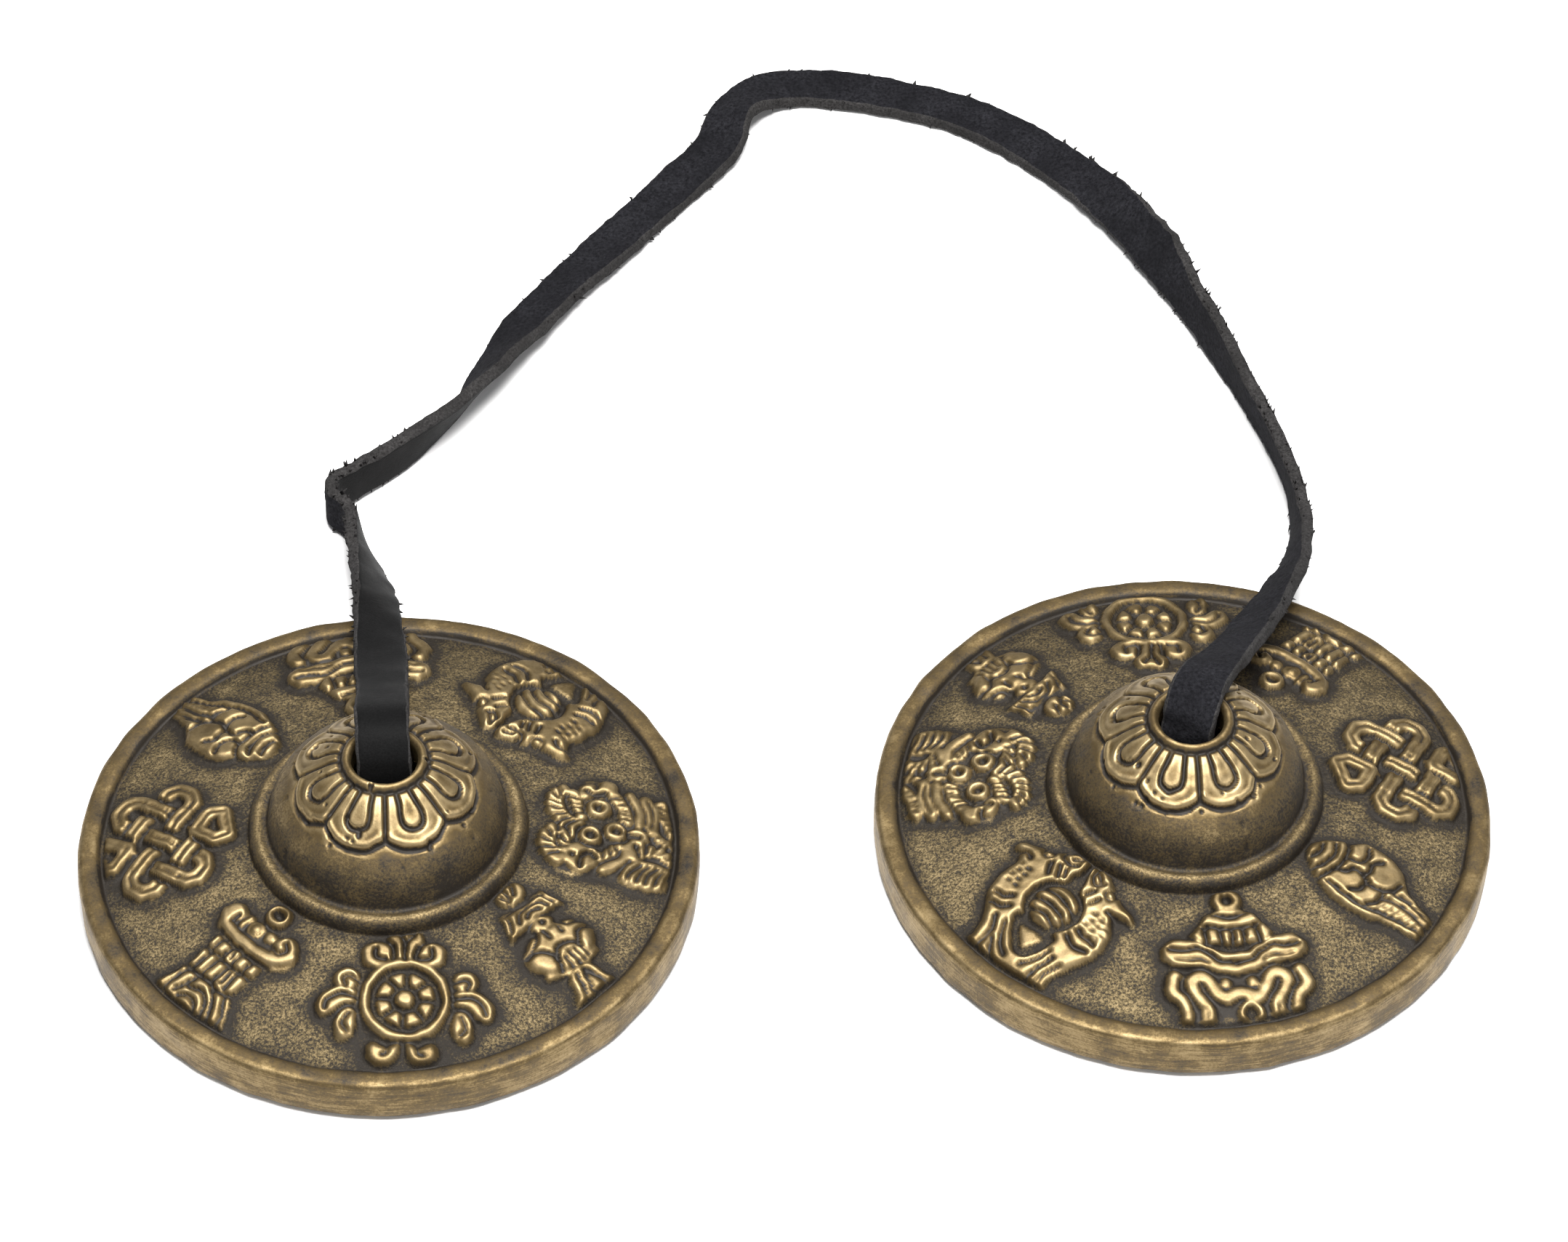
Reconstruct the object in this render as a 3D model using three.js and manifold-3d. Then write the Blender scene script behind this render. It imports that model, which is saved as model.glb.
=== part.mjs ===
// Finger cymbals: two cast brass discs with low relief, joined by one flat leather strap
// that is knotted under each dome. Millimetres, +Z up. The origin is midway between the two
// discs, on the surface that they stand on, and +X runs from the left disc to the right one.
import * as THREE from 'three';
import { mergeVertices } from 'three/addons/utils/BufferGeometryUtils.js';
import Module from 'manifold-3d';

const wasm = await Module();
wasm.setup();

// Driving dimensions.
const DISC_RADIUS = 35;
const RIM_HEIGHT = 5.5;
const HUB_HEIGHT = 20.4;
const HOLE_RADIUS = 3.75;
const HUB_SPACING = 90.2;
const LEFT_TURN = 0;
const RIGHT_TURN = 182;

const LATHE_STEPS = 48;
const ROUND_STEPS = 12;

const EMBLEM_COUNT = 8;
const EMBLEM_RADIUS = 24;
const EMBLEM_RISE = 1.0;
const EMBLEM_ROOT = 2.0;
const KNOT_PITCH = 4.1;
const FIELD_FOOT_RADIUS = 15.6;
const FIELD_FOOT_HEIGHT = 8.0;
const FIELD_EDGE_RADIUS = 32.3;
const FIELD_EDGE_HEIGHT = 4.8;
const FIELD_SLOPE = (FIELD_FOOT_HEIGHT - FIELD_EDGE_HEIGHT) / (FIELD_EDGE_RADIUS - FIELD_FOOT_RADIUS);

const PETAL_COUNT = 8;
const PETAL_PHASE = 20.7;
const PETAL_CENTRE = 7.6;
const PETAL_RADIUS = 2.85;
const PETAL_TOP = 18.9;
const PETAL_DEPTH = 1.6;
const PETAL_LEAN = 28;

const STRAP_WIDTH = 6;
const STRAP_THICKNESS = 1.5;
const STRAP_CORNER = 0.35;
const STRAP_STEPS = 40;
const CROWN_SHARE = 0.4911;
const CROWN_GAP = 4.0;

const KNOT_RADIUS = 4.9;
const KNOT_HALF_HEIGHT = 3.4;
const KNOT_CENTRE_Z = 12.0;
const KNOT_CENTRE_BACK = -1.2;

const BRASS = { color: 0x8f7c55, metalness: 1, roughness: 0.42 };
const LEATHER = { color: 0x1b1a1c, metalness: 0, roughness: 0.75 };

// Solids.

function toSolid(geometry) {
  const bare = geometry.index ? geometry.toNonIndexed() : geometry.clone();
  bare.deleteAttribute('normal');
  bare.deleteAttribute('uv');
  const merged = mergeVertices(bare, 1e-4);
  const mesh = new wasm.Mesh({
    numProp: 3,
    vertProperties: Float32Array.from(merged.attributes.position.array),
    triVerts: Uint32Array.from(merged.index.array),
  });
  return new wasm.Manifold(mesh);
}

function toGeometry(solid) {
  const mesh = solid.getMesh();
  const geometry = new THREE.BufferGeometry();
  geometry.setAttribute('position', new THREE.BufferAttribute(mesh.vertProperties, 3));
  geometry.setIndex(new THREE.BufferAttribute(mesh.triVerts, 1));
  return geometry;
}

// The turned body: rim, sloping field, ring at the foot of the hub, dome, ring round the hole,
// and under it the hollow of the dome and the shallow dish that ends at the flat rim face.

function turnedBody() {
  const profile = [
    [34.6, 0], [DISC_RADIUS, 0.5], [DISC_RADIUS, RIM_HEIGHT - 0.5], [34.6, RIM_HEIGHT],
    [32.9, RIM_HEIGHT], [FIELD_EDGE_RADIUS, FIELD_EDGE_HEIGHT],
    [FIELD_FOOT_RADIUS, FIELD_FOOT_HEIGHT], [15.2, 8.9], [14.6, 9.3], [13.8, 9.2],
    [13.4, 10.9], [12.4, 14.0], [11.5, 15.2], [10.3, 16.2],
    [7.5, 18.4], [5.0, 19.7], [4.7, HUB_HEIGHT], [HOLE_RADIUS, HUB_HEIGHT],
    [HOLE_RADIUS, 16.6], [7.2, 15.2], [9.6, 12.6], [11.0, 6.5], [12.2, 4.7],
    [16, 4.1], [28.7, 0.6], [29.3, 0], [34.6, 0],
  ];
  const points = profile.map(([radius, z]) => new THREE.Vector2(radius, z));
  const lathe = new THREE.LatheGeometry(points, LATHE_STEPS);
  lathe.rotateX(Math.PI / 2);
  return toSolid(lathe);
}

// Flat shapes of the relief. Each emblem has its own frame: x to the right, y towards the hub.

function disc(x, y, radius) {
  const shape = new THREE.Shape();
  shape.absarc(x, y, radius, 0, 2 * Math.PI);
  return shape;
}

function polygon(points) {
  return new THREE.Shape(points.map(([x, y]) => new THREE.Vector2(x, y)));
}

// An outline given by its right half, from its lowest point to its highest, and mirrored.
function mirrored(points) {
  const left = points.map(([x, y]) => [-x, y]).reverse();
  return polygon([...points, ...left]);
}

function bar(x0, y0, x1, y1, width) {
  const length = Math.hypot(x1 - x0, y1 - y0);
  const sideX = (-(y1 - y0) / length) * (width / 2);
  const sideY = ((x1 - x0) / length) * (width / 2);
  return polygon([
    [x0 + sideX, y0 + sideY], [x0 - sideX, y0 - sideY],
    [x1 - sideX, y1 - sideY], [x1 + sideX, y1 + sideY],
  ]);
}

function bothSides(x, y, radius) {
  return [disc(x, y, radius), disc(-x, y, radius)];
}

function wheelShapes() {
  return [
    disc(0, 0, 5),
    disc(0, 6.4, 2.2), ...bothSides(7.0, 0, 2.8),
    mirrored([[3.6, -7.8], [3.2, -4.0]]),
  ];
}

function vaseShapes() {
  return [
    disc(0, -1.4, 4.1),
    mirrored([[3.0, -7.6], [1.5, -4.8], [1.6, 3.0], [3.6, 5.0], [3.0, 7.0]]),
  ];
}

function lotusShapes() {
  return [
    disc(0, 4.6, 2.0),
    mirrored([[3.0, -7.4], [6.6, -5.6], [6.6, -1.5], [4.4, 1.0], [6.2, 4.2], [4.0, 6.0], [1.6, 3.4]]),
  ];
}

function fishShapes() {
  const shapes = [disc(0, 0, 2.2), bar(0, -5, 0, 0, 1.2)];
  for (const side of [-1, 1]) {
    const body = [
      [side * 0.3, 6.6], [side * 3.4, 6.2], [side * 6.4, 2.4], [side * 6.2, -2.2],
      [side * 3.6, -5.6], [side * 2.6, -7.8], [side * 0.4, -6.0], [side * 3.0, -3.0],
      [side * 3.6, 0.6], [side * 2.4, 3.4], [side * 0.3, 4.6],
    ];
    shapes.push(polygon(body));
  }
  return shapes;
}

function parasolShapes() {
  return [
    disc(0, 7.2, 1.4),
    mirrored([[2.2, -1.5], [7.4, -2.2], [7.8, 0.4], [4.6, 2.6], [2.4, 5.8]]),
    mirrored([[5.0, -6.8], [7.8, -4.2], [7.4, -1.8], [2.2, -1.0]]),
    disc(0, -6.2, 1.6),
  ];
}

function conchShapes() {
  return [
    polygon([
      [-0.6, -7.6], [1.6, -5.4], [3.8, -1.6], [4.4, 2.2], [3.0, 5.4], [-1.5, 6.2],
      [-3.9, 3.0], [-4.0, -0.4], [-2.4, -3.6],
    ]),
  ];
}

function knotShapes() {
  const shapes = [];
  const reach = 6.6;
  for (const offset of [-KNOT_PITCH, 0, KNOT_PITCH]) {
    const run = reach - Math.abs(offset) * 0.42;
    shapes.push(bar(offset, -run, offset, run, 2.4));
    shapes.push(bar(-run, offset, run, offset, 2.4));
  }
  return shapes;
}

function bannerShapes() {
  return [
    disc(0, 6.4, 1.5), ...bothSides(4.8, 4.4, 1.8),
    mirrored([[4.0, -7.0], [5.6, -4.2], [4.0, -1.6], [3.0, 2.0], [4.6, 3.4], [1.2, 5.4]]),
  ];
}

const EMBLEMS = [
  wheelShapes, vaseShapes, lotusShapes, fishShapes,
  parasolShapes, conchShapes, knotShapes, bannerShapes,
];

// An emblem stands on the sloping field: it is tilted with the slope, and its root is sunk.
function emblemSolids(shapes, angle) {
  const depth = EMBLEM_ROOT + EMBLEM_RISE;
  const fieldHeight = FIELD_EDGE_HEIGHT + FIELD_SLOPE * (FIELD_EDGE_RADIUS - EMBLEM_RADIUS);
  return shapes.map((shape) => {
    const geometry = new THREE.ExtrudeGeometry(shape, {
      depth, bevelEnabled: false, curveSegments: ROUND_STEPS / 2,
    });
    geometry.translate(0, 0, -EMBLEM_ROOT);
    geometry.rotateX(Math.atan(FIELD_SLOPE));
    geometry.translate(0, -EMBLEM_RADIUS, fieldHeight);
    geometry.rotateZ(angle + Math.PI / 2);
    return toSolid(geometry);
  });
}

// One petal of the rosette on top of the dome, leaning with the dome's surface.
function petalSolid(angle) {
  const petal = new THREE.CylinderGeometry(PETAL_RADIUS, PETAL_RADIUS, PETAL_DEPTH, ROUND_STEPS);
  petal.rotateX(Math.PI / 2);
  petal.translate(0, 0, -PETAL_DEPTH / 2);
  petal.rotateY(THREE.MathUtils.degToRad(PETAL_LEAN));
  petal.translate(PETAL_CENTRE, 0, PETAL_TOP);
  petal.rotateZ(angle);
  return toSolid(petal);
}

function cymbalGeometry() {
  let solid = turnedBody();
  for (let k = 0; k < PETAL_COUNT; k += 1) {
    solid = solid.add(petalSolid(THREE.MathUtils.degToRad(PETAL_PHASE + (360 / PETAL_COUNT) * k)));
  }
  const start = -Math.PI / 2;
  EMBLEMS.forEach((shapes, k) => {
    const angle = start + (2 * Math.PI * k) / EMBLEM_COUNT;
    for (const relief of emblemSolids(shapes(), angle)) {
      solid = solid.add(relief);
    }
  });
  return toGeometry(solid);
}

// The strap's route: x, y, z of its middle, and the lean of its left edge in degrees, from the
// left knot over the rims and round behind the discs to the right knot. It lies on the surface:
// flat, then on edge through the bend on the left, then turned over, and on edge on the right.
const ROUTE = [
  [-45.1, -1.4, 15.9, 0],
  [-45.1, -0.9, 18.6, 0],
  [-45.1, -0.1, 20.9, 0],
  [-45.1, 1.6, 22.3, 0],
  [-45.1, 4.0, 22.35, 0],
  [-45.1, 7.2, 20.9, 0],
  [-45.1, 12.8, 17.4, 0],
  [-45.1, 21.6, 12.8, 8],
  [-45.2, 28.8, 10.2, 21],
  [-45.4, 34.8, 8.4, 34],
  [-45.8, 40.0, 6.3, 47],
  [-46.4, 45.0, 4.5, 61],
  [-47.3, 49.4, 3.4, 76],
  [-47.7, 52.0, 3.2, 84],
  [-48.7, 53.7, 3.2, 88],
  [-50.0, 55.1, 3.2, 90],
  [-50.0, 57.2, 3.2, 92],
  [-47.4, 59.4, 3.2, 94],
  [-42.2, 63.2, 3.2, 98],
  [-34.6, 70.8, 3.25, 114],
  [-30.0, 78.2, 2.8, 138],
  [-24.8, 87.0, 1.9, 164],
  [-5.6, 110.4, 0.9, 180],
  [0.4, 117.2, 1.3, 172],
  [2.7, 123.2, 2.0, 160],
  [8.6, 127.9, 1.0, 178],
  [20.4, 126.4, 0.9, 180],
  [34.0, 120.4, 0.9, 180],
  [45.6, 108.4, 1.6, 192],
  [52.6, 95.6, 2.9, 228],
  [57.6, 81.0, 3.3, 262],
  [61.6, 67.4, 3.3, 277],
  [64.6, 54.6, 3.3, 279],
  [64.9, 46.2, 3.8, 268],
  [63.4, 38.2, 6.2, 250],
  [60.7, 31.0, 8.9, 230],
  [55.9, 21.4, 12.3, 214],
  [50.9, 11.4, 17.9, 202],
  [48.3, 6.4, 21.1, 192],
  [46.9, 3.6, 22.4, 186],
  [45.8, 1.4, 22.3, 180],
  [45.1, -0.1, 20.9, 180],
  [44.7, -0.8, 18.6, 180],
  [44.5, -1.25, 15.9, 180],
];

const centreline = new THREE.CatmullRomCurve3(ROUTE.map(([x, y, z]) => new THREE.Vector3(x, y, z)));
centreline.arcLengthDivisions = 800;

function leanAt(t) {
  const place = t * (ROUTE.length - 1);
  const index = Math.min(Math.floor(place), ROUTE.length - 2);
  const blend = THREE.MathUtils.smoothstep(place - index, 0, 1);
  return THREE.MathUtils.degToRad(THREE.MathUtils.lerp(ROUTE[index][3], ROUTE[index + 1][3], blend));
}

// One stretch of the route, between two shares of its length, with frames that follow the lean.
class StrapStretch extends THREE.Curve {
  constructor(from, to) {
    super();
    this.from = from;
    this.to = to;
  }

  routeParameter(t) {
    return centreline.getUtoTmapping(THREE.MathUtils.lerp(this.from, this.to, t));
  }

  getPoint(t) {
    return centreline.getPoint(this.routeParameter(t));
  }

  computeFrenetFrames(steps) {
    const frames = { tangents: [], normals: [], binormals: [] };
    for (let i = 0; i <= steps; i += 1) {
      const t = this.getUtoTmapping(i / steps);
      const along = this.getTangent(t);
      const left = new THREE.Vector3(-along.y, along.x, 0).normalize();
      const lean = leanAt(this.routeParameter(t));
      const up = new THREE.Vector3().crossVectors(along, left);
      const across = left.clone().multiplyScalar(Math.cos(lean)).addScaledVector(up, Math.sin(lean));
      frames.tangents.push(along);
      frames.normals.push(new THREE.Vector3().crossVectors(across, along));
      frames.binormals.push(across);
    }
    return frames;
  }
}

// The strap's section: x through its thickness, y across its width, with the corners cut.
function strapSection() {
  const x = STRAP_THICKNESS / 2;
  const y = STRAP_WIDTH / 2;
  return polygon([
    [x, y - STRAP_CORNER], [x - STRAP_CORNER, y], [-x + STRAP_CORNER, y], [-x, y - STRAP_CORNER],
    [-x, -y + STRAP_CORNER], [-x + STRAP_CORNER, -y], [x - STRAP_CORNER, -y], [x, -y + STRAP_CORNER],
  ]);
}

function strapGeometry(from, to) {
  const geometry = new THREE.ExtrudeGeometry(strapSection(), {
    steps: STRAP_STEPS, bevelEnabled: false, extrudePath: new StrapStretch(from, to),
  });
  return toGeometry(toSolid(geometry));
}

function knotGeometry() {
  const knot = new THREE.SphereGeometry(KNOT_RADIUS, ROUND_STEPS, 10);
  knot.scale(1, 1, KNOT_HALF_HEIGHT / KNOT_RADIUS);
  return toGeometry(toSolid(knot));
}

// Assembly.

function part(name, geometry, finish) {
  geometry.computeVertexNormals();
  const mesh = new THREE.Mesh(geometry, new THREE.MeshStandardMaterial(finish));
  mesh.name = name;
  return mesh;
}

function cymbal(name, x, turn) {
  const mesh = part(name, cymbalGeometry(), BRASS);
  mesh.position.set(x, 0, 0);
  mesh.rotation.z = THREE.MathUtils.degToRad(turn);
  return mesh;
}

function knot(name, x) {
  const mesh = part(name, knotGeometry(), LEATHER);
  mesh.position.set(x, KNOT_CENTRE_BACK, KNOT_CENTRE_Z);
  return mesh;
}

const group = new THREE.Group();
const halfGap = CROWN_GAP / 2 / centreline.getLength();
group.add(
  cymbal('left_cymbal', -HUB_SPACING / 2, LEFT_TURN),
  cymbal('right_cymbal', HUB_SPACING / 2, RIGHT_TURN),
  part('strap_left', strapGeometry(0, CROWN_SHARE - halfGap), LEATHER),
  part('strap_right', strapGeometry(CROWN_SHARE + halfGap, 1), LEATHER),
  knot('left_knot', -HUB_SPACING / 2),
  knot('right_knot', HUB_SPACING / 2),
);

export default group;
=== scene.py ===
"""Finger cymbals: two antiqued brass castings with low relief, and the leather strap knotted
through them. Relief is worked out in millimetres on each casting, then set down in metres.
"""
import math

import bpy
import numpy as np
from mathutils import Matrix, Vector


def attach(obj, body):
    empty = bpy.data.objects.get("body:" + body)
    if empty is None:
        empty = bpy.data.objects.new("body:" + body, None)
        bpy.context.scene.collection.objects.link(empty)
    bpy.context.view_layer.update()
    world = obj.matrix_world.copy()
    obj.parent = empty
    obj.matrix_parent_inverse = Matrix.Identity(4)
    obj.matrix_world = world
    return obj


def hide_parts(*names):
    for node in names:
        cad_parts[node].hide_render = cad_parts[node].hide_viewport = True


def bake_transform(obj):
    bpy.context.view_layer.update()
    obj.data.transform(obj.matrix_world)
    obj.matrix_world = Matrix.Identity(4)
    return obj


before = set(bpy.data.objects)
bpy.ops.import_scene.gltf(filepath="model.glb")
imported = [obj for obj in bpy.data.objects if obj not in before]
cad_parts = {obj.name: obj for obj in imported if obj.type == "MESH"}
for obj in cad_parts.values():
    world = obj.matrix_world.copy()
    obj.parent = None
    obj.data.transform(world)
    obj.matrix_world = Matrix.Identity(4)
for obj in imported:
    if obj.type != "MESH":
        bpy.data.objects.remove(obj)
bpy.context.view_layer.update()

MM = 0.001

# ---------------- driving dimensions, in mm, and turns in degrees
HUB_HALF_SPACING = 45.1
STRAP_WIDTH = 6.0
STRAP_THICKNESS = 1.5
STRAP_CORNER = 0.28
STRAP_STEP = 0.45
STRAP_TUCK = 1.8
STRAP_CLEARANCE = 0.08
BURRS = 1500
BURR_CLEARANCE = 0.15

FIELD_INNER = 15.8
FIELD_OUTER = 32.3
FIELD_HIGH = 8.02
FIELD_FALL = 3.22
FIELD_BULGE = 0.35
FIELD_COLUMNS = 720
FIELD_RINGS = 80
EMBLEM_RADIUS = 24.0
EMBLEM_RISE = 1.15
AXES_TURN = -5.4
RIGHT_TURN = 182.0

PETALS = 8
PETAL_PHASE = 20.7
PETAL_CENTRE = 6.0
PETAL_RADIUS = 4.3
ROSETTE_RISE = 0.55

# A raised shape starts this far outside its drawn outline. Its shoulder's width and its crown's
# height are these shares of what is asked for, and the power sets how full its curve is.
SWELL = 0.12
SHOULDER_SHARE = 0.75
CROWN_SHARE = 0.85
CROWN_POWER = 1.2


# ---------------- small helpers


def placed(name, data):
    obj = bpy.data.objects.new(name, data)
    bpy.context.scene.collection.objects.link(obj)
    return obj


def smooth(t):
    t = np.clip(t, 0, 1)
    return t * t * (3 - 2 * t)


def unit(vectors):
    return vectors / np.linalg.norm(vectors, axis=-1, keepdims=True)


def bell(values, middle, width):
    return np.exp(-(((values - middle) / width) ** 2))


def waves(points, size, seed, count=28):
    """Smooth noise of about -1 to 1, with bumps about size across, at points (n, 3)."""
    rng = np.random.default_rng(seed)
    directions = unit(rng.normal(size=(count, 3)))
    numbers = 2 * math.pi / (size * rng.uniform(0.7, 1.6, count))
    phases = rng.uniform(0, 2 * math.pi, count)
    total = np.zeros(len(points))
    for direction, number, phase in zip(directions, numbers, phases):
        total += np.sin(points @ direction * number + phase)
    return total / math.sqrt(count)


def catmull(points, per_span, closed=False):
    """Points along a centripetal Catmull-Rom curve, and the share of the way along by index."""
    p = np.array(points, float)
    if closed:
        p = np.concatenate([p[-1:], p, p[:2]])
    else:
        p = np.concatenate([2 * p[:1] - p[1:2], p, 2 * p[-1:] - p[-2:-1]])
    found, places = [], []
    for i in range(1, len(p) - 2):
        a, b, c, d = p[i - 1], p[i], p[i + 1], p[i + 2]
        ab, bc, cd = (max(np.linalg.norm(v) ** 0.5, 1e-6) for v in (b - a, c - b, d - c))
        out = ((b - a) / ab - (c - a) / (ab + bc) + (c - b) / bc) * bc
        into = ((c - b) / bc - (d - b) / (bc + cd) + (d - c) / cd) * bc
        t = (np.arange(per_span) / per_span)[:, None]
        curve = b + out * t + (3 * (c - b) - 2 * out - into) * t**2
        found.append(curve + (2 * (b - c) + out + into) * t**3)
        places.append(i - 1 + t[:, 0])
    if not closed:
        found.append(p[-2:-1])
        places.append([len(points) - 1])
    return np.concatenate(found), np.concatenate(places)


def blurred(grid, radii):
    """A grid smoothed by a bell of the given widths, in cells; its second axis is a circle."""
    for axis, radius in enumerate(radii):
        reach = max(1, int(radius * 3))
        weights = np.exp(-0.5 * (np.arange(-reach, reach + 1) / radius) ** 2)
        weights /= weights.sum()
        if axis == 0:
            padded = np.pad(grid, ((reach, reach), (0, 0)), mode="edge")
            grid = sum(w * padded[k : k + grid.shape[0]] for k, w in enumerate(weights))
        else:
            grid = sum(w * np.roll(grid, k - reach, axis=1) for k, w in enumerate(weights))
    return grid


def ring_faces(counts):
    """Faces joining rings of points in turn, the last to the first; a ring may double or halve."""
    starts = np.concatenate([[0], np.cumsum(counts)])
    faces = []
    for k, count in enumerate(counts):
        n = (k + 1) % len(counts)
        a, b, other = int(starts[k]), int(starts[n]), counts[n]
        if other == count:
            for i in range(count):
                j = (i + 1) % count
                faces.append((a + i, b + i, b + j, a + j))
            continue
        (few, a), (many, b) = sorted([(count, a), (other, b)])
        for i in range(few):
            j = (i + 1) % few
            p, q, r = b + 2 * i, b + 2 * i + 1, b + (2 * i + 2) % many
            fan = [(a + i, p, q), (a + i, q, a + j), (a + j, q, r)]
            faces += fan if few == count else [face[::-1] for face in fan]
    return faces


def new_mesh(name, points, faces, materials, indices=None, attributes=None):
    """A smooth-shaded mesh object from points in mm."""
    mesh = bpy.data.meshes.new(name)
    mesh.from_pydata((np.asarray(points) * MM).tolist(), [], faces)
    for material in materials:
        mesh.materials.append(material)
    if indices is not None:
        mesh.polygons.foreach_set("material_index", indices)
    for key, values in (attributes or {}).items():
        attribute = mesh.attributes.new(key, "FLOAT", "POINT")
        attribute.data.foreach_set("value", np.asarray(values, np.float32))
    mesh.polygons.foreach_set("use_smooth", [True] * len(mesh.polygons))
    mesh.update()
    return placed(name, mesh)


# ---------------- materials


class Nodes:
    """A material's node tree, with short ways to add and join nodes."""

    def __init__(self, name):
        self.material = bpy.data.materials.new(name)
        self.material.use_nodes = True
        self.tree = self.material.node_tree
        self.shader = self.tree.nodes["Principled BSDF"]
        self.place = self.add("ShaderNodeTexCoord").outputs["Object"]

    def add(self, kind, **settings):
        node = self.tree.nodes.new(kind)
        for key, value in settings.items():
            setattr(node, key, value)
        return node

    def join(self, value, socket):
        if isinstance(value, bpy.types.NodeSocket):
            self.tree.links.new(value, socket)
        else:
            socket.default_value = value

    def shade(self, **values):
        """Sets inputs of the shader, an input's name having _ for a space."""
        for name, value in values.items():
            self.join(value, self.shader.inputs[name.replace("_", " ")])

    def noise(self, size, detail=2.0, roughness=0.5, stretch=None):
        """Noise whose bumps are about size mm across."""
        place = self.place
        if stretch:
            mapping = self.add("ShaderNodeMapping")
            mapping.inputs["Scale"].default_value = stretch
            self.join(place, mapping.inputs["Vector"])
            place = mapping.outputs["Vector"]
        node = self.add("ShaderNodeTexNoise")
        self.join(place, node.inputs["Vector"])
        node.inputs["Scale"].default_value = 1 / (size * MM)
        node.inputs["Detail"].default_value = detail
        node.inputs["Roughness"].default_value = roughness
        return node.outputs["Fac"]

    def attribute(self, name):
        return self.add("ShaderNodeAttribute", attribute_name=name).outputs["Fac"]

    def math(self, operation, a, b=0.0, clamp=False):
        node = self.add("ShaderNodeMath", operation=operation, use_clamp=clamp)
        self.join(a, node.inputs[0])
        self.join(b, node.inputs[1])
        return node.outputs[0]

    def remap(self, value, low, high, to_low=0.0, to_high=1.0):
        node = self.add("ShaderNodeMapRange")
        self.join(value, node.inputs["Value"])
        for key, number in zip(
            ("From Min", "From Max", "To Min", "To Max"), (low, high, to_low, to_high)
        ):
            node.inputs[key].default_value = number
        return node.outputs["Result"]

    def mix(self, factor, a, b):
        node = self.add("ShaderNodeMix", data_type="RGBA")
        self.join(factor, node.inputs["Factor"])
        self.join(a, node.inputs["A"])
        self.join(b, node.inputs["B"])
        return node.outputs["Result"]

    def bump(self, height, depth, previous=None, strength=1.0):
        """A bump whose full height is depth mm."""
        node = self.add("ShaderNodeBump")
        node.inputs["Distance"].default_value = depth * MM
        self.join(strength, node.inputs["Strength"])
        self.join(height, node.inputs["Height"])
        if previous is not None:
            self.join(previous, node.inputs["Normal"])
        return node.outputs["Normal"]


PATINA_AND_SHADE = (0.010, 0.0065, 0.003, 1)
SMOOTH_BRASS = (0.128, 0.088, 0.038, 1)
GRAINY_BRASS = (0.117, 0.090, 0.049, 1)
RUBBED_BRASS = (0.415, 0.318, 0.172, 1)
DULL_ROUGHNESS = 0.64
BRIGHT_ROUGHNESS = 0.44


def brass_material():
    """Cast brass: dark patina where it is sunk, and painted shade on the sides of the foot ring,
    warm dull brass between, rubbed bright on top, and brushed in streaks where the rim was turned."""
    m = Nodes("antiqued_brass")
    grain = m.attribute("grain")
    speckle = m.noise(0.30, 4, 0.75)
    streak = m.noise(2.0, 3, 0.6, (0.5, 0.5, 8.0))
    cloud = m.noise(11.0, 3, 0.6)
    blotch = m.noise(3.2, 4, 0.65)
    rub_and_shade = m.math("ADD", m.attribute("rub_and_shade"), m.remap(cloud, 0.32, 0.68, -0.12, 0.08))
    rub_and_shade = m.math("ADD", rub_and_shade, m.remap(blotch, 0.32, 0.68, -0.17, 0.12))
    brushed = m.math("MULTIPLY", m.remap(streak, 0.3, 0.7, -0.14, 0.12), m.attribute("brushed"))
    rub_and_shade = m.math("ADD", rub_and_shade, brushed)
    speckle_depth = m.math("MULTIPLY", m.remap(speckle, 0.36, 0.58, -0.48, 0.15), grain)
    rub_and_shade = m.math("ADD", rub_and_shade, speckle_depth, clamp=True)
    middle = m.mix(grain, SMOOTH_BRASS, GRAINY_BRASS)
    # Low rub values give the dark of patina, and on the foot ring's sides painted shade.
    dull = m.mix(m.remap(rub_and_shade, 0.0, 0.40), PATINA_AND_SHADE, middle)
    colour = m.mix(m.remap(rub_and_shade, 0.34, 1.0), dull, RUBBED_BRASS)
    m.shade(Base_Color=colour, Metallic=m.remap(rub_and_shade, 0.0, 0.4, 0.35, 1.0))
    gloss = m.remap(rub_and_shade, 0.1, 0.9, DULL_ROUGHNESS, BRIGHT_ROUGHNESS)
    m.shade(Roughness=m.math("ADD", gloss, m.remap(blotch, 0.3, 0.7, -0.05, 0.06)))
    fine = m.bump(speckle, 0.14, strength=grain)
    m.shade(Normal=m.bump(m.noise(0.9, 3, 0.6), 0.035, fine, 0.5))
    return m.material


def leather_material(name, colour, paler, pores, depth, roughness, shine):
    """Black split leather; pores is the size of its grain or nap, and depth its depth, in mm."""
    m = Nodes(name)
    nap = m.noise(pores, 4, 0.7)
    cloud = m.noise(6.0, 3, 0.6)
    fade = m.math("MULTIPLY", m.remap(nap, 0.35, 0.8), m.remap(cloud, 0.35, 0.7, 0.35, 1.0))
    m.shade(Base_Color=m.mix(fade, colour, paler))
    m.shade(Roughness=m.remap(cloud, 0.3, 0.7, roughness - 0.06, roughness + 0.08))
    m.shade(Normal=m.bump(nap, depth), Specular_IOR_Level=shine)
    return m.material


def floor_material():
    m = Nodes("floor_paper")
    tone = m.mix(m.noise(40, 2), (0.86, 0.86, 0.865, 1), (0.90, 0.90, 0.905, 1))
    m.shade(Base_Color=tone, Roughness=0.9, Specular_IOR_Level=0.2)
    return m.material


# ---------------- camera

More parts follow.
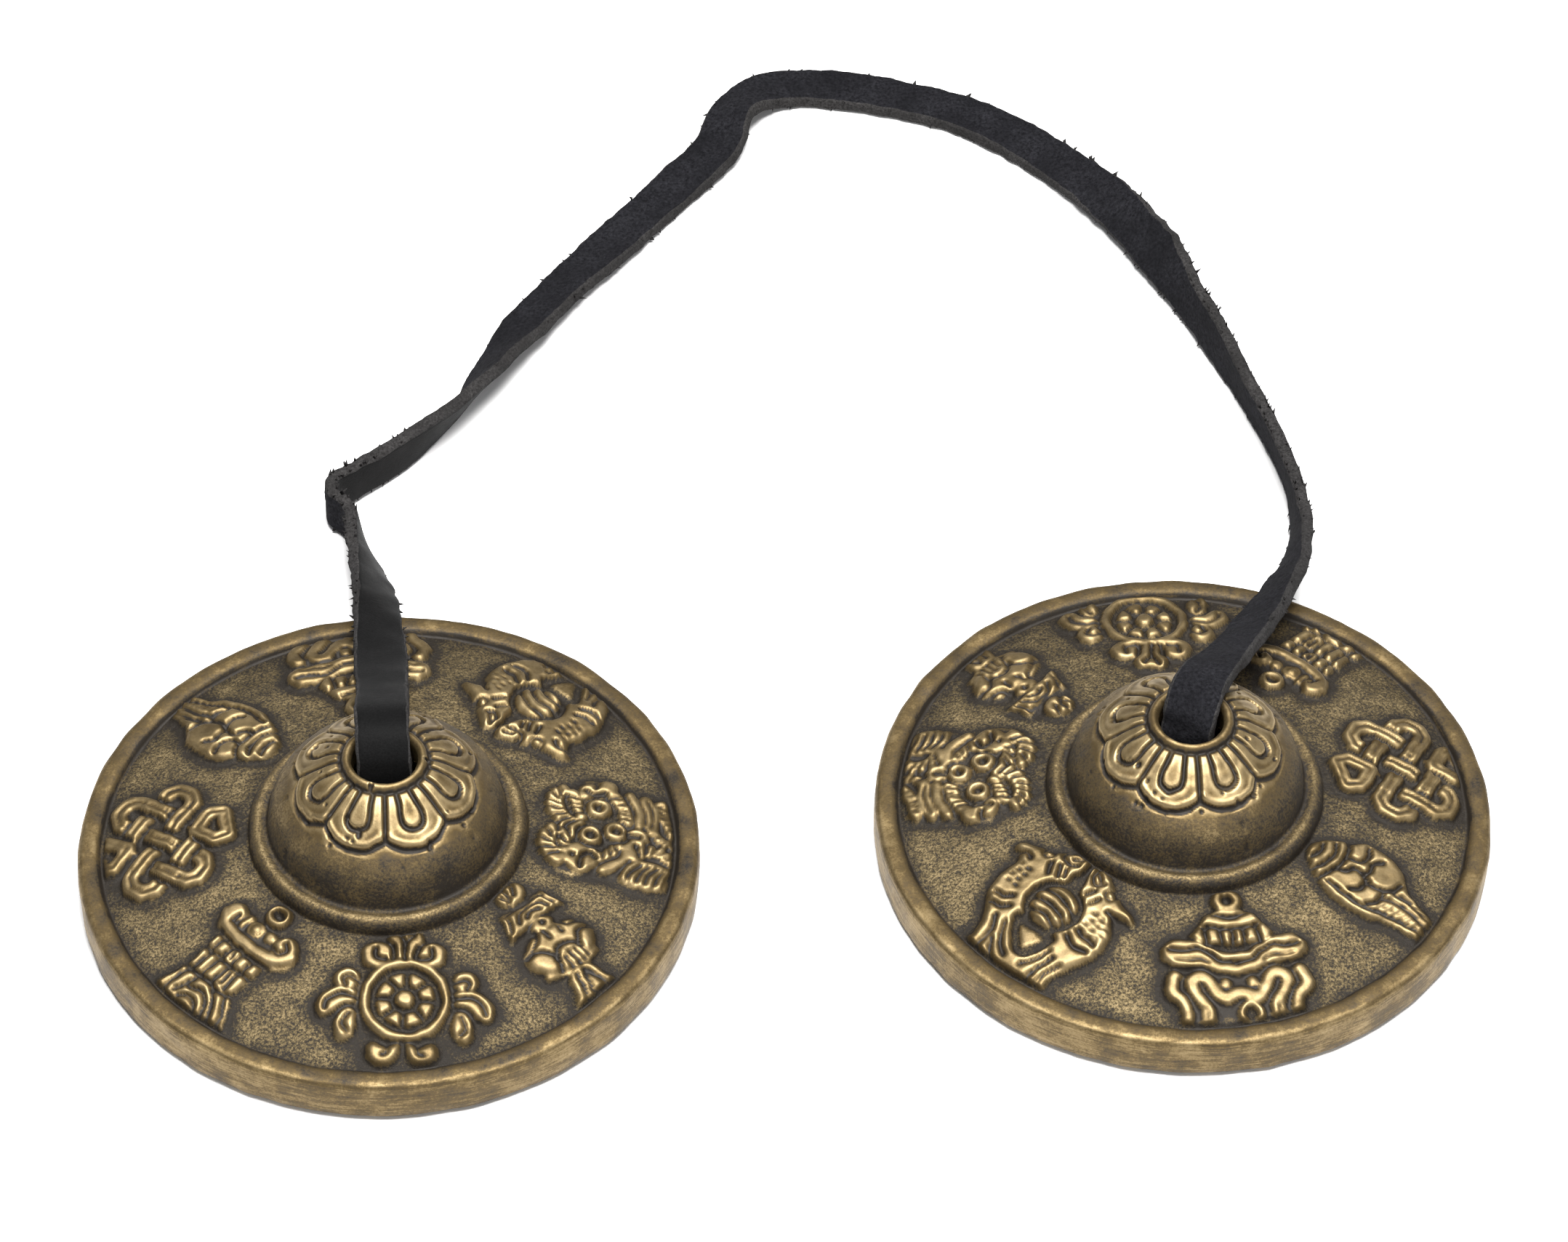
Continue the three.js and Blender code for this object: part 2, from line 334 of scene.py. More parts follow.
LENS = 135.0
ROLL = 1.231
AIM = Vector((2.48, 36.13, 0.0)) * MM
EYE = Vector((-41.56, -432.75, 510.65)) * MM


def make_camera():
    data = bpy.data.cameras.new("camera")
    data.lens = LENS
    data.sensor_width = 36.0
    data.clip_start = 0.01
    camera = placed("camera", data)
    back = (EYE - AIM).normalized()
    level = Vector((0, 0, 1)).cross(back).normalized()
    turn = Matrix.Rotation(math.radians(ROLL), 3, back)
    right, up = turn @ level, turn @ back.cross(level)
    camera.matrix_world = Matrix.Translation(EYE) @ Matrix((right, up, back)).transposed().to_4x4()
    bpy.context.scene.camera = camera


make_camera()

# ---------------- strap

# The middle of the strap in mm, and the lean of its left edge in degrees, from the left knot to
# the right one: flat out of the left hub, leaning past the rim until it is on edge round the kink,
# turned over at the crown, on edge again down the right side, and flat into the right hub.
ROUTE = [
    (-45.1, -1.4, 15.9, 0),
    (-45.1, -0.9, 18.6, 0),
    (-45.1, -0.1, 20.9, 0),
    (-45.1, 1.6, 22.3, 0),
    (-45.1, 4.0, 22.35, 0),
    (-45.1, 7.2, 20.9, 0),
    (-45.1, 12.8, 17.4, 0),
    (-45.1, 21.6, 12.8, 8),
    (-45.2, 28.8, 10.2, 21),
    (-45.4, 34.8, 8.4, 34),
    (-45.8, 40.0, 6.3, 47),
    (-46.4, 45.0, 4.5, 61),
    (-47.3, 49.4, 3.4, 76),
    (-47.7, 52.0, 3.2, 84),
    (-48.7, 53.7, 3.2, 88),
    (-50.0, 55.1, 3.2, 90),
    (-50.0, 57.2, 3.2, 92),
    (-47.4, 59.4, 3.2, 94),
    (-42.2, 63.2, 3.2, 98),
    (-34.6, 70.8, 3.25, 114),
    (-30.0, 78.2, 2.8, 138),
    (-24.8, 87.0, 1.9, 164),
    (-5.6, 110.4, 0.9, 180),
    (0.4, 117.2, 1.3, 172),
    (2.7, 123.2, 2.0, 160),
    (8.6, 127.9, 1.0, 178),
    (20.4, 126.4, 0.9, 180),
    (34.0, 120.4, 0.9, 180),
    (45.6, 108.4, 1.6, 192),
    (52.6, 95.6, 2.9, 228),
    (57.6, 81.0, 3.3, 262),
    (61.6, 67.4, 3.3, 277),
    (64.6, 54.6, 3.3, 279),
    (64.9, 46.2, 3.8, 268),
    (63.4, 38.2, 6.2, 250),
    (60.7, 31.0, 8.9, 230),
    (55.9, 21.4, 12.3, 214),
    (50.9, 11.4, 17.9, 202),
    (48.3, 6.4, 21.1, 192),
    (46.9, 3.6, 22.4, 186),
    (45.8, 1.4, 22.3, 180),
    (45.1, -0.1, 20.9, 180),
    (44.7, -0.8, 18.6, 180),
    (44.5, -1.25, 15.9, 180),
]


def strap_line():
    """How far along each ring of the strap is, its centre, and its directions along, across and
    out of the grain face."""
    route = np.array(ROUTE, float)
    curve, places = catmull(route[:, :3], 40)
    index = np.minimum(places.astype(int), len(route) - 2)
    leans = route[index, 3] + (route[index + 1, 3] - route[index, 3]) * smooth(places - index)
    first = curve[0] + unit(curve[0] - curve[1]) * STRAP_TUCK
    last = curve[-1] + unit(curve[-1] - curve[-2]) * STRAP_TUCK
    curve = np.concatenate([[first], curve, [last]])
    leans = np.concatenate([leans[:1], leans, leans[-1:]])
    travelled = np.concatenate([[0], np.cumsum(np.linalg.norm(np.diff(curve, axis=0), axis=1))])
    at = np.linspace(0, travelled[-1], int(travelled[-1] / STRAP_STEP) + 1)
    centres = np.stack([np.interp(at, travelled, curve[:, k]) for k in range(3)], axis=1)
    lean = np.radians(np.interp(at, travelled, leans))[:, None]
    along = unit(np.gradient(centres, axis=0))
    left = unit(np.stack([-along[:, 1], along[:, 0], np.zeros(len(at))], axis=1))
    across = left * np.cos(lean) + np.cross(along, left) * np.sin(lean)
    return at, centres, along, across, np.cross(along, across)


GRAIN_FACE, SUEDE_FACE, CUT_EDGE = range(3)


def strap_section():
    """The section's points (across, out), going round, and the material of each side."""
    half_width, half_thick, corner = STRAP_WIDTH / 2, STRAP_THICKNESS / 2, STRAP_CORNER
    flat = np.linspace(-half_width + corner, half_width - corner, 15)
    wall = np.linspace(half_thick - corner, -half_thick + corner, 5)
    bend = corner * (1 - math.cos(math.pi / 4))
    half = [(a, half_thick) for a in flat]
    half += [(half_width - bend, half_thick - bend)]
    half += [(half_width, b) for b in wall]
    half += [(half_width - bend, -half_thick + bend)]
    points = half + [(-a, -b) for a, b in half]
    sides, edges = len(flat) - 1, len(wall) + 3
    kinds = [GRAIN_FACE] * sides + [CUT_EDGE] * edges + [SUEDE_FACE] * sides + [CUT_EDGE] * edges
    return np.array(points), kinds


def frayed(at):
    """How ragged the cut edges are, from 0 to 1, along the strap."""
    ragged = np.maximum(bell(at, 68, 15), bell(at, 256, 28))  # at the kink and down the right
    return np.clip(0.25 + 0.75 * ragged, 0, 1)


def strap_burrs(at, centres, along, across, out):
    """Small torn points of leather standing off the cut edges."""
    rng = np.random.default_rng(11)
    points, faces = [], []
    ragged = frayed(at)
    for _ in range(BURRS):
        i = int(rng.integers(60, len(at) - 60))
        side = rng.choice([-1, 1])
        keep = ragged[i] ** 1.5
        length = rng.uniform(0.3, 0.8) + (0.5 if rng.random() < 0.16 else 0.0)
        width = rng.uniform(0.18, 0.4)
        level = rng.choice([-0.6, 0.6]) * rng.uniform(0.6, 1)
        sweep = rng.uniform(-0.7, 0.7)
        if rng.random() > keep:
            continue
        root = centres[i] + across[i] * side * (STRAP_WIDTH / 2 - 0.2) + out[i] * level
        tip = root + across[i] * side * (0.2 + length * (0.4 + 0.6 * ragged[i]))
        tip = tip + along[i] * sweep * length
        tip = tip + out[i] * math.copysign(rng.uniform(0.05, 0.45), level)
        tip[2] = max(tip[2], BURR_CLEARANCE)
        start = len(points)
        points += [
            root + along[i] * width, root - along[i] * width * 0.4 + out[i] * width * 0.6,
            root - along[i] * width * 0.5 - out[i] * width * 0.6, tip,
        ]
        order = (0, 1, 2) if side > 0 else (0, 2, 1)
        a, b, c = (start + k for k in order)
        faces += [(a, c, b), (a, b, start + 3), (b, c, start + 3), (c, a, start + 3)]
    return points, faces


def make_strap(materials):
    at, centres, along, across, out = strap_line()
    section, kinds = strap_section()
    rings, count = len(at), len(section)
    ragged = frayed(at)[:, None]
    flat = centres[:, None, :] + across[:, None, :] * section[:, 0, None]
    flat = flat + out[:, None, :] * section[:, 1, None]
    samples = flat.reshape(-1, 3)
    # The cut edges wander and are ragged.
    rough = waves(samples, 1.1, 3).reshape(rings, count) * 0.05
    rough += waves(samples, 2.6, 4).reshape(rings, count) * 0.10
    pull = waves(samples, 14.0, 5).reshape(rings, count) * 0.12
    edge = smooth((np.abs(section[:, 0]) - 2.2) / 0.7)[None, :]
    grow = np.sign(section[:, 0])[None, :] * edge * (rough * (0.5 + 1.1 * ragged) + pull)
    # The faces are slightly crowned, and the suede one is napped.
    suede = (section[:, 1] < -0.5)[None, :] * 1.0
    swell = waves(samples, 0.9, 6).reshape(rings, count) * 0.035
    crown = (1 - (section[:, 0] / 3) ** 2)[None, :] * 0.06 * np.sign(section[:, 1])[None, :]
    lift = crown - suede * swell + waves(samples, 5.0, 7).reshape(rings, count) * 0.03
    points = flat + across[:, None, :] * grow[..., None] + out[:, None, :] * lift[..., None]
    points = points.reshape(-1, 3)
    points[:, 2] = np.maximum(points[:, 2], STRAP_CLEARANCE)
    faces = ring_faces([count] * rings)[:-count]
    faces.append(tuple(range(count)))
    faces.append(tuple(range((rings - 1) * count, rings * count))[::-1])
    indices = kinds * (rings - 1) + [CUT_EDGE, CUT_EDGE]
    burrs, burr_faces = strap_burrs(at, centres, along, across, out)
    base = len(points)
    faces += [tuple(base + v for v in face) for face in burr_faces]
    indices += [CUT_EDGE] * len(burr_faces)
    strap = new_mesh("leather_strap", np.concatenate([points, burrs]), faces, materials, indices)
    return strap, centres


KNOT_SCALE = (1.08, 1.08, 1.25)
KNOT_HALF_WIDTH = 1.75
KNOT_HALF_THICKNESS = 0.72
KNOT_HALF_HEIGHT = 3.6
KNOT_Y, KNOT_Z = -1.2, 12.0


def make_knot(name, x, seed, materials):
    """The overhand knot in the strap's end: a flat lace wound through itself, drawn up tight."""
    turns = np.linspace(0, 2 * math.pi, 181)[:-1]
    path = np.stack([
        np.sin(turns) + 2 * np.sin(2 * turns),
        np.cos(turns) - 2 * np.cos(2 * turns),
        -1.15 * np.sin(3 * turns),
    ], axis=1)
    path *= KNOT_SCALE
    along = unit(np.roll(path, -1, 0) - np.roll(path, 1, 0))
    outward = unit(path * (1, 1, 0.2))
    across = unit(np.cross(along, outward))
    facing = np.cross(across, along)
    ring = np.linspace(0, 2 * math.pi, 21)[:-1]
    a, b = (
        half * np.sign(wave) * np.abs(wave) ** 0.6  # a rounded rectangle
        for half, wave in ((KNOT_HALF_WIDTH, np.cos(ring)), (KNOT_HALF_THICKNESS, np.sin(ring)))
    )
    points = path[:, None, :] + across[:, None, :] * a[:, None] + facing[:, None, :] * b[:, None]
    points = points.reshape(-1, 3)
    points += waves(points, 2.2, seed)[:, None] * 0.06
    faces = [face[::-1] for face in ring_faces([len(ring)] * len(path))]
    middles = ring + ring[1] / 2
    kinds = np.where(np.sin(middles) > 0, GRAIN_FACE, SUEDE_FACE)
    kinds[np.abs(np.cos(middles)) > 0.9] = CUT_EDGE
    points[:, 2] = np.clip(points[:, 2], -KNOT_HALF_HEIGHT, KNOT_HALF_HEIGHT)
    points += (x, KNOT_Y, KNOT_Z)
    return new_mesh(name, points, faces, materials, kinds.tolist() * len(path))


leathers = [
    leather_material("leather_grain_side", (0.0042, 0.0042, 0.0043, 1), (0.010, 0.010, 0.0102, 1),
                     pores=0.25, depth=0.045, roughness=0.52, shine=0.03),
    leather_material("leather_suede_side", (0.005, 0.005, 0.006, 1), (0.030, 0.030, 0.035, 1),
                     pores=0.40, depth=0.16, roughness=0.9, shine=0.04),
    leather_material("leather_cut_edge", (0.013, 0.0125, 0.0125, 1), (0.070, 0.067, 0.067, 1),
                     pores=0.30, depth=0.14, roughness=0.9, shine=0.05),
]
strap, strap_path = make_strap(leathers)
knots = [
    make_knot("left_strap_knot", -HUB_HALF_SPACING, 21, leathers),
    make_knot("right_strap_knot", HUB_HALF_SPACING, 22, leathers),
]
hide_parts("strap_left", "strap_right")
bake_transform(strap)
for piece, side in zip(knots, ("left", "right")):
    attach(piece, f"strap_{side}_half")
    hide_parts(f"{side}_knot")

# ---------------- relief


class Relief:
    """Heights drawn on a flat patch whose x runs to the right and y towards the hub, in mm."""

    def __init__(self, x, y, height=None):
        self.x, self.y = x, y
        self.height = np.zeros_like(x) if height is None else height

    def flipped(self, side):
        return Relief(self.x * side, self.y, self.height)

    def turned(self, x, y, degrees):
        c, s = math.cos(math.radians(degrees)), math.sin(math.radians(degrees))
        dx, dy = self.x - x, self.y - y
        return Relief(dx * c + dy * s, dy * c - dx * s, self.height)

    def disc(self, x, y, radius):
        return np.hypot(self.x - x, self.y - y) - radius

    def oval(self, x, y, half_x, half_y, degrees=0.0):
        turned = self.turned(x, y, degrees)
        return (np.hypot(turned.x / half_x, turned.y / half_y) - 1) * min(half_x, half_y)

    def line(self, points, width, curved=True, closed=False):
        if curved and len(points) > 2:
            points = catmull(points, 6, closed)[0]
        if closed:
            points = np.concatenate([points, points[:1]])
        best = np.full(self.x.shape, 1e9)
        for (ax, ay), (bx, by) in zip(points[:-1], points[1:]):
            dx, dy = bx - ax, by - ay
            share = ((self.x - ax) * dx + (self.y - ay) * dy) / max(dx * dx + dy * dy, 1e-9)
            share = np.clip(share, 0, 1)
            best = np.minimum(best, np.hypot(self.x - ax - dx * share, self.y - ay - dy * share))
        return best - width / 2

    def area(self, points, curved=True):
        if curved:
            points = catmull(points, 5, closed=True)[0]
        distance = self.line(points, 0.0, curved=False, closed=True)
        inside = np.zeros(self.x.shape, bool)
        for (ax, ay), (bx, by) in zip(points, np.roll(points, -1, axis=0)):
            crosses = (ay > self.y) != (by > self.y)
            slope = (bx - ax) / (by - ay if by != ay else 1e-9)
            inside ^= crosses & (self.x < ax + (self.y - ay) * slope)
        return np.where(inside, -distance, distance)

    def lift(self, distance, rise=EMBLEM_RISE, shoulder=0.9):
        t = np.clip((SWELL - distance) / (shoulder * SHOULDER_SHARE), 0, 1)
        dome = rise * CROWN_SHARE * t**CROWN_POWER * (2 - t) ** CROWN_POWER
        np.maximum(self.height, dome, out=self.height)

    def sink(self, distance, depth=0.75, lip=0.17):
        self.height -= depth * smooth((lip - distance) / (2 * lip)) * (self.height > 0.02)
        np.maximum(self.height, 0, out=self.height)

    def carve(self, points, width, depth=0.62, curved=True):
        self.sink(self.line(points, width, curved), depth)

    def carve_each(self, width, depth, *lines):
        for points in lines:
            self.carve(points, width, depth)

    def clear(self, distance):
        """Takes the relief away where distance is below zero."""
        self.height *= smooth(distance / 0.35 + 0.3)


def draw_wheel(g):
    g.lift(g.disc(0, 0, 5.5), 0.4, 0.6)
    g.lift(np.abs(g.disc(0, 0, 4.45)) - 0.6, 1.2, 0.6)
    g.clear(np.abs(g.disc(0, 0, 3.55)) - 0.26)
    g.lift(g.disc(0, 0, 3.25), 0.95, 0.5)
    for k in range(8):
        angle = math.radians(45 * k - 2)
        c, s = math.cos(angle), math.sin(angle)
        g.carve([(1.3 * c, 1.3 * s), (3.4 * c, 3.4 * s)], 0.42, 0.9)
    g.sink(np.abs(g.disc(0, 0, 1.4)) - 0.24, 0.85)
    g.lift(g.disc(0, 0, 1.05), 1.2, 0.6)
    for side in (-1, 1):
        s = g.flipped(side)
        s.lift(s.disc(6.5, 2.4, 1.55))
        s.lift(s.area([(5.3, 1.1), (7.3, 1.7), (9.1, 0.8), (9.9, -0.7), (9.3, -2.1), (7.8, -1.9),
                       (6.8, -1), (5.4, -0.6)]))
        s.lift(s.oval(6.4, -3, 1.3, 2.1, 10))
        s.lift(s.area([(0.2, -5), (1.9, -5.3), (3.3, -4.9), (4.2, -6), (3.9, -7.2), (2.7, -8),
                       (1.3, -7.8), (0.35, -6.9)]), 1.2, 1.3)
        s.carve([(5.3, 2.2), (6.2, 2.7), (6.9, 2.3), (6.6, 1.5)], 0.38)
        s.carve([(5.3, 0.2), (7.1, 0.5), (8.5, -0.3), (8.8, -1.4)], 0.4)
        s.carve([(6.1, -1.7), (6.8, -2.9), (6.1, -4.2)], 0.45)
        s.carve([(1.7, -5.3), (1.6, -6.1), (2.2, -6.6)], 0.3)
    g.lift(g.disc(-3.3, 5.4, 1.9))
    g.lift(g.disc(2.6, 5.6, 1.75))
    g.lift(g.area([(-1.4, 4.8), (-1.7, 6.3), (-2.4, 7.5), (-1.7, 8.8), (-0.2, 9), (1.3, 8.7),
                   (1.8, 7.5), (1.1, 6.2), (0.9, 4.8)]))
    g.carve_each(
        0.4, 0.75,
        [(-2.3, 4.9), (-3.4, 5.1), (-3.6, 6.2)], [(1.4, 4.9), (2.5, 5.2), (2.6, 6.3)],
        [(-0.4, 4.9), (-0.4, 6.9), (-1.1, 8.2)], [(-0.4, 6.9), (0.6, 8.1)],
        [(-1.5, 5.1), (-1.7, 6.6)], [(0.9, 5.1), (1.2, 6.4)],
    )
    g.carve([(0, -5), (0, -7.2)], 0.3, 0.9)


def draw_vase(g):
    g.lift(g.area([(-1.9, -4.6), (1.3, -4.6), (1.8, -6.6), (2.6, -8.4), (-3.9, -8.8),
                   (-2.6, -6.6)]), 1.1)
    g.lift(g.line([(-3.6, -3.6), (-0.3, -4.6), (2.9, -3.9)], 1), 0.8, 0.5)
    g.lift(g.oval(-0.1, -1.6, 4.7, 3.15), 1.35, 1.4)
    g.lift(g.oval(0.2, 1.8, 1.75, 1), 1.1, 0.7)
    g.lift(g.area([(-4.1, 2), (-2.7, 5.4), (3.5, 5.4), (4.2, 2.6), (0.3, 2.5)], False), 1.15)
    g.lift(g.oval(0.2, 6.9, 1.95, 1.55), 1.15, 0.8)
    g.carve_each(
        0.34, 0.7,
        [(-3.9, -0.5), (-2.6, 0.1), (-1.5, 0.7), (-1.3, 1.4)],
        [(-4, -0.5), (-2.8, -0.7), (-1.7, -1.6), (-1.6, -3), (-2.1, -4)],
        [(1.9, 1.3), (2.4, 0.2), (3.9, -0.3)],
        [(1.8, -4), (1.9, -2.2), (2.9, -1.2), (4.2, -1.4)],
        [(-1.5, -2.7), (-0.7, -1.7), (0.3, -1.5), (1.2, -1.8), (1.8, -2.7)],
        [(-0.5, 0.9), (-0.3, -0.1)], [(1.4, 0.6), (1.2, -0.3)],
        [(-0.6, -2.8), (-0.7, -4.1)], [(0.2, -2.6), (0.2, -4.3)], [(0.9, -2.8), (1, -4.1)],
        [(-3.2, 2.9), (-2.2, 4.6)], [(-1.7, 3.3), (-0.9, 4.3), (0.5, 4.5), (1.9, 4.2), (2.5, 3.3)],
        [(3.3, 3.2), (2.9, 4.7)], [(-0.6, 3.4), (0.4, 3.8), (1.4, 3.4)],
        [(-2.4, 5), (3, 5)], [(-0.2, 8), (-0.1, 6.9), (-0.9, 6)], [(1.1, 7.9), (0.4, 6.7)],
        [(-0.9, -5.2), (-1.9, -8)], [(0.2, -5.2), (1, -7.8), (-0.8, -7.9), (0.1, -5.3)],
    )
    g.sink(g.disc(0.4, 2, 0.28), 0.7)
    g.sink(g.oval(-0.9, 7, 0.28, 0.5, 25), 0.6)


def ribbed(g, points, width, ribs):
    """A leaf along a curve, with ribs carved across its outer side."""
    g.lift(g.line(points, width), shoulder=min(0.8, width * 0.42))
    curve = catmull(points, 12)[0]
    for k in range(ribs):
        i = int((k + 0.6) / ribs * (len(curve) - 2))
        ahead = curve[i + 1] - curve[i]
        ahead = ahead / max(np.hypot(*ahead), 1e-9)
        normal = np.array([-ahead[1], ahead[0]])
        tip = curve[i] + normal * width * 0.55 + ahead * width * 0.30
        root = curve[i] - normal * width * 0.22 - ahead * 0.2
        g.carve([root, curve[i] + ahead * 0.05, tip], 0.30, 0.6)


def draw_lotus(g):
    g.lift(g.area([
        (-6.2, -7.6), (-6.7, -3.5), (-5.2, 0), (-5.9, 3.2), (-4.6, 6.2), (-1.6, 7.7), (0.8, 6.2),
        (3.4, 6.6), (6.8, 6.2), (7, 3.6), (8.6, 1.8), (8.5, -0.9), (7, -2.2), (7.2, -5),
        (6.4, -7.8), (2, -8.6), (-3, -8.6),
    ]), 0.35, 0.6)
    ribbed(g, [(0.9, 3), (0.5, 5.1), (-0.9, 6.2), (-2.6, 6), (-3.8, 4.9)][::-1], 2.3, 6)
    ribbed(g, [(-2.6, 4), (-1.2, 4.3), (0.4, 3.2)], 1.5, 3)
    ribbed(g, [(1.2, 2.9), (2, 4.4), (3.5, 5.4), (5.2, 5.5), (6.2, 4.8)], 2.2, 7)
    ribbed(g, [(2.8, 2.4), (4.2, 3), (5.8, 3.5)], 1.7, 4)
    g.lift(g.disc(-3.2, 2.3, 2.2))
    g.lift(g.disc(6.4, 1.4, 1.6))
    g.lift(g.disc(7.3, -0.2, 1.4), 1.25)
    g.lift(g.line([(-4.6, -0.2), (-3.2, -2.1), (-0.6, -3.1)], 1.5), 1.1, 0.7)
    ribbed(g, [(-3, 0.2), (-2, -0.9), (-0.9, -1.7)], 1.6, 3)
    ribbed(g, [(2.8, -2.5), (4.6, -2.1), (6.3, -1.2)], 1.9, 5)
    g.lift(g.line([(2.4, -4), (4.6, -3.9), (6.9, -2.9)], 1.3), 1.1, 0.6)
    for x, y, radius in ((-0.1, 1.35, 1.5), (4.1, 0.6, 1.5), (1, -1.4, 1.5)):
        g.clear(g.disc(x, y, radius + 0.15))
        g.lift(g.disc(x, y, radius), 1.3, 0.8)
        g.sink(g.disc(x, y, 0.5), 0.95, 0.3)
    g.lift(g.disc(0.6, -4, 1.45), 1.2)
    g.carve([(0.7, -2.8), (0.7, -3.9)], 0.7, 0.85)
    g.lift(g.area([(-5.8, -2), (-3.9, -2.4), (-2.5, -4), (-2.6, -6.4), (-3.2, -8.2), (-5.8, -8),
                   (-6.6, -5)]), 1.15, 0.9)
    for k in range(5):
        g.carve([(-5.9, -2.9 - k * 1), (-4.7, -3.1 - k * 1.05), (-3.3, -4.4 - k * 0.9)], 0.32, 0.6)
    ribbed(g, [(-2.2, -3.5), (-1.1, -4.9), (-1, -6.5), (-1.9, -7.9)], 2, 5)
    ribbed(g, [(0.3, -8.2), (0.6, -6.8), (1.6, -5.6)], 1.4, 3)
    g.lift(g.line([(2.2, -5.3), (4.2, -5.4), (6.6, -4.6)], 1.7), 1.1, 0.7)
    ribbed(g, [(6.1, -6.4), (4.2, -6.9), (2.2, -7.9)], 1.8, 5)
    g.carve([(2.4, -5.3), (4.2, -5.5), (6.4, -4.9)], 0.26, 0.4)
    g.carve([(-4.7, 2.4), (-3.2, 2.3), (-2.5, 1.4), (-3.3, 0.8)], 0.5, 0.95)
    g.sink(g.disc(-3.1, 3.3, 0.3), 0.7)
    g.carve([(6.4, 2.1), (6.1, 1), (6.4, -0.1)], 0.4, 0.85)
    g.carve([(7, 1), (7.9, 0.7)], 0.35, 0.7)


def draw_fish(g):
    g.lift(g.area([
        (-0.2, 8.8), (-2.2, 7.9), (-4.4, 6.6), (-7.9, 5.4), (-8.1, 4.4), (-6.7, 3.3), (-6.9, 1),
        (-6.6, -1.6), (-5.1, -4), (-4.2, -6.5), (-4.3, -8.6), (2, -8.6), (6.6, -8.4), (6.9, -5.2),
        (8.3, -2.4), (8.9, 0.2), (8.2, 2.6), (7.2, 4), (9.2, 5), (8.6, 5.8), (5.8, 6.6), (3.8, 7.8),
        (1.6, 8.9), (0.7, 8.1),
    ]), 1.35, 1.5)
    g.clear(g.disc(0.9, 1.1, 3.25))
    g.clear(g.area([(-1.7, -2), (3.7, -1.8), (3.6, -3.2), (2.8, -5.2), (1.7, -5.9), (0.2, -5),
                    (-1.1, -3.6)]))
    g.clear(g.area([(-0.3, 4.3), (0.2, 6.4), (0.65, 8.6), (1.1, 6.2), (1.7, 4.3)], False))
    g.lift(g.area([(-0.6, -2.7), (2.8, -2.6), (2.4, -4), (1.5, -5.1), (0.3, -4)]), 0.55, 0.8)
    g.lift(g.disc(0.9, 1.1, 2.85), 1.35, 1.5)
    g.carve_each(
        0.42, 0.7,
        [(-1.7, 2.1), (0, 2.4), (1.7, 2.2), (3.4, 1.4)],
        [(-1.6, 0.7), (0.2, 1), (1.8, 0.8), (3.2, 0)],
        [(-0.9, -0.6), (0.7, -0.3), (2.6, -0.9)],
    )
    g.carve_each(
        0.4, 0.75,
        [(-0.5, 6.7), (-1.6, 6.3), (-2.7, 6.8), (-2.4, 7.6)], [(-1.4, 7.1), (-0.6, 7.6)],
        [(1.6, 7.9), (1.7, 6.7), (2.6, 6.2), (3.3, 6.8)], [(2, 7.4), (2.7, 6.9)],
        [(-3.1, 5.1), (-2.5, 3.9)], [(-2.2, 5.5), (-1.3, 4.2)], [(-1.3, 5.6), (-0.8, 4.7)],
        [(3, 5.5), (2.6, 4.4)], [(4.3, 4.9), (3.7, 3.8)],
        [(-7.4, 4), (-6.2, 4.4), (-5.3, 4.2)], [(5.9, 4.4), (7.1, 4.2), (8.7, 4.6)],
        [(-5.6, -1.5), (-4.4, -1.3), (-3.4, -0.7)], [(-5.1, -2.8), (-4, -2.6), (-2.9, -1.9)],
        [(4.8, 0.6), (6, 0.2), (7.6, 0.3)], [(4.5, -0.6), (5.6, -1.3), (7.6, -1)],
        [(-2, -3.6), (-0.9, -5.6), (0.7, -6.9)], [(-1.8, -6), (-0.9, -7.4), (0.3, -8.4)],
        [(-3.3, -3.6), (-2.5, -5.4), (-2.5, -8.2)],
        [(4.3, -3.4), (3.9, -5), (2.9, -6.6)], [(5.2, -3.8), (4.8, -5.6), (4.4, -8)],
        [(6.4, -4), (5.9, -5.6), (5.8, -8)],
    )
    for x, y in ((-4.2, 6), (4.8, 6.2)):
        g.sink(np.abs(g.disc(x, y, 0.62)) - 0.12, 0.6)
    for k in range(4):
        for x, y in ((-5.6, 3.1), (-4.5, 2.9), (5.2, 3.3), (6.3, 3.1), (7.3, 2.6)):
            g.sink(g.oval(x + 0.25 * (k % 2), y - 0.85 * k, 0.36, 0.14), 0.45, 0.18)


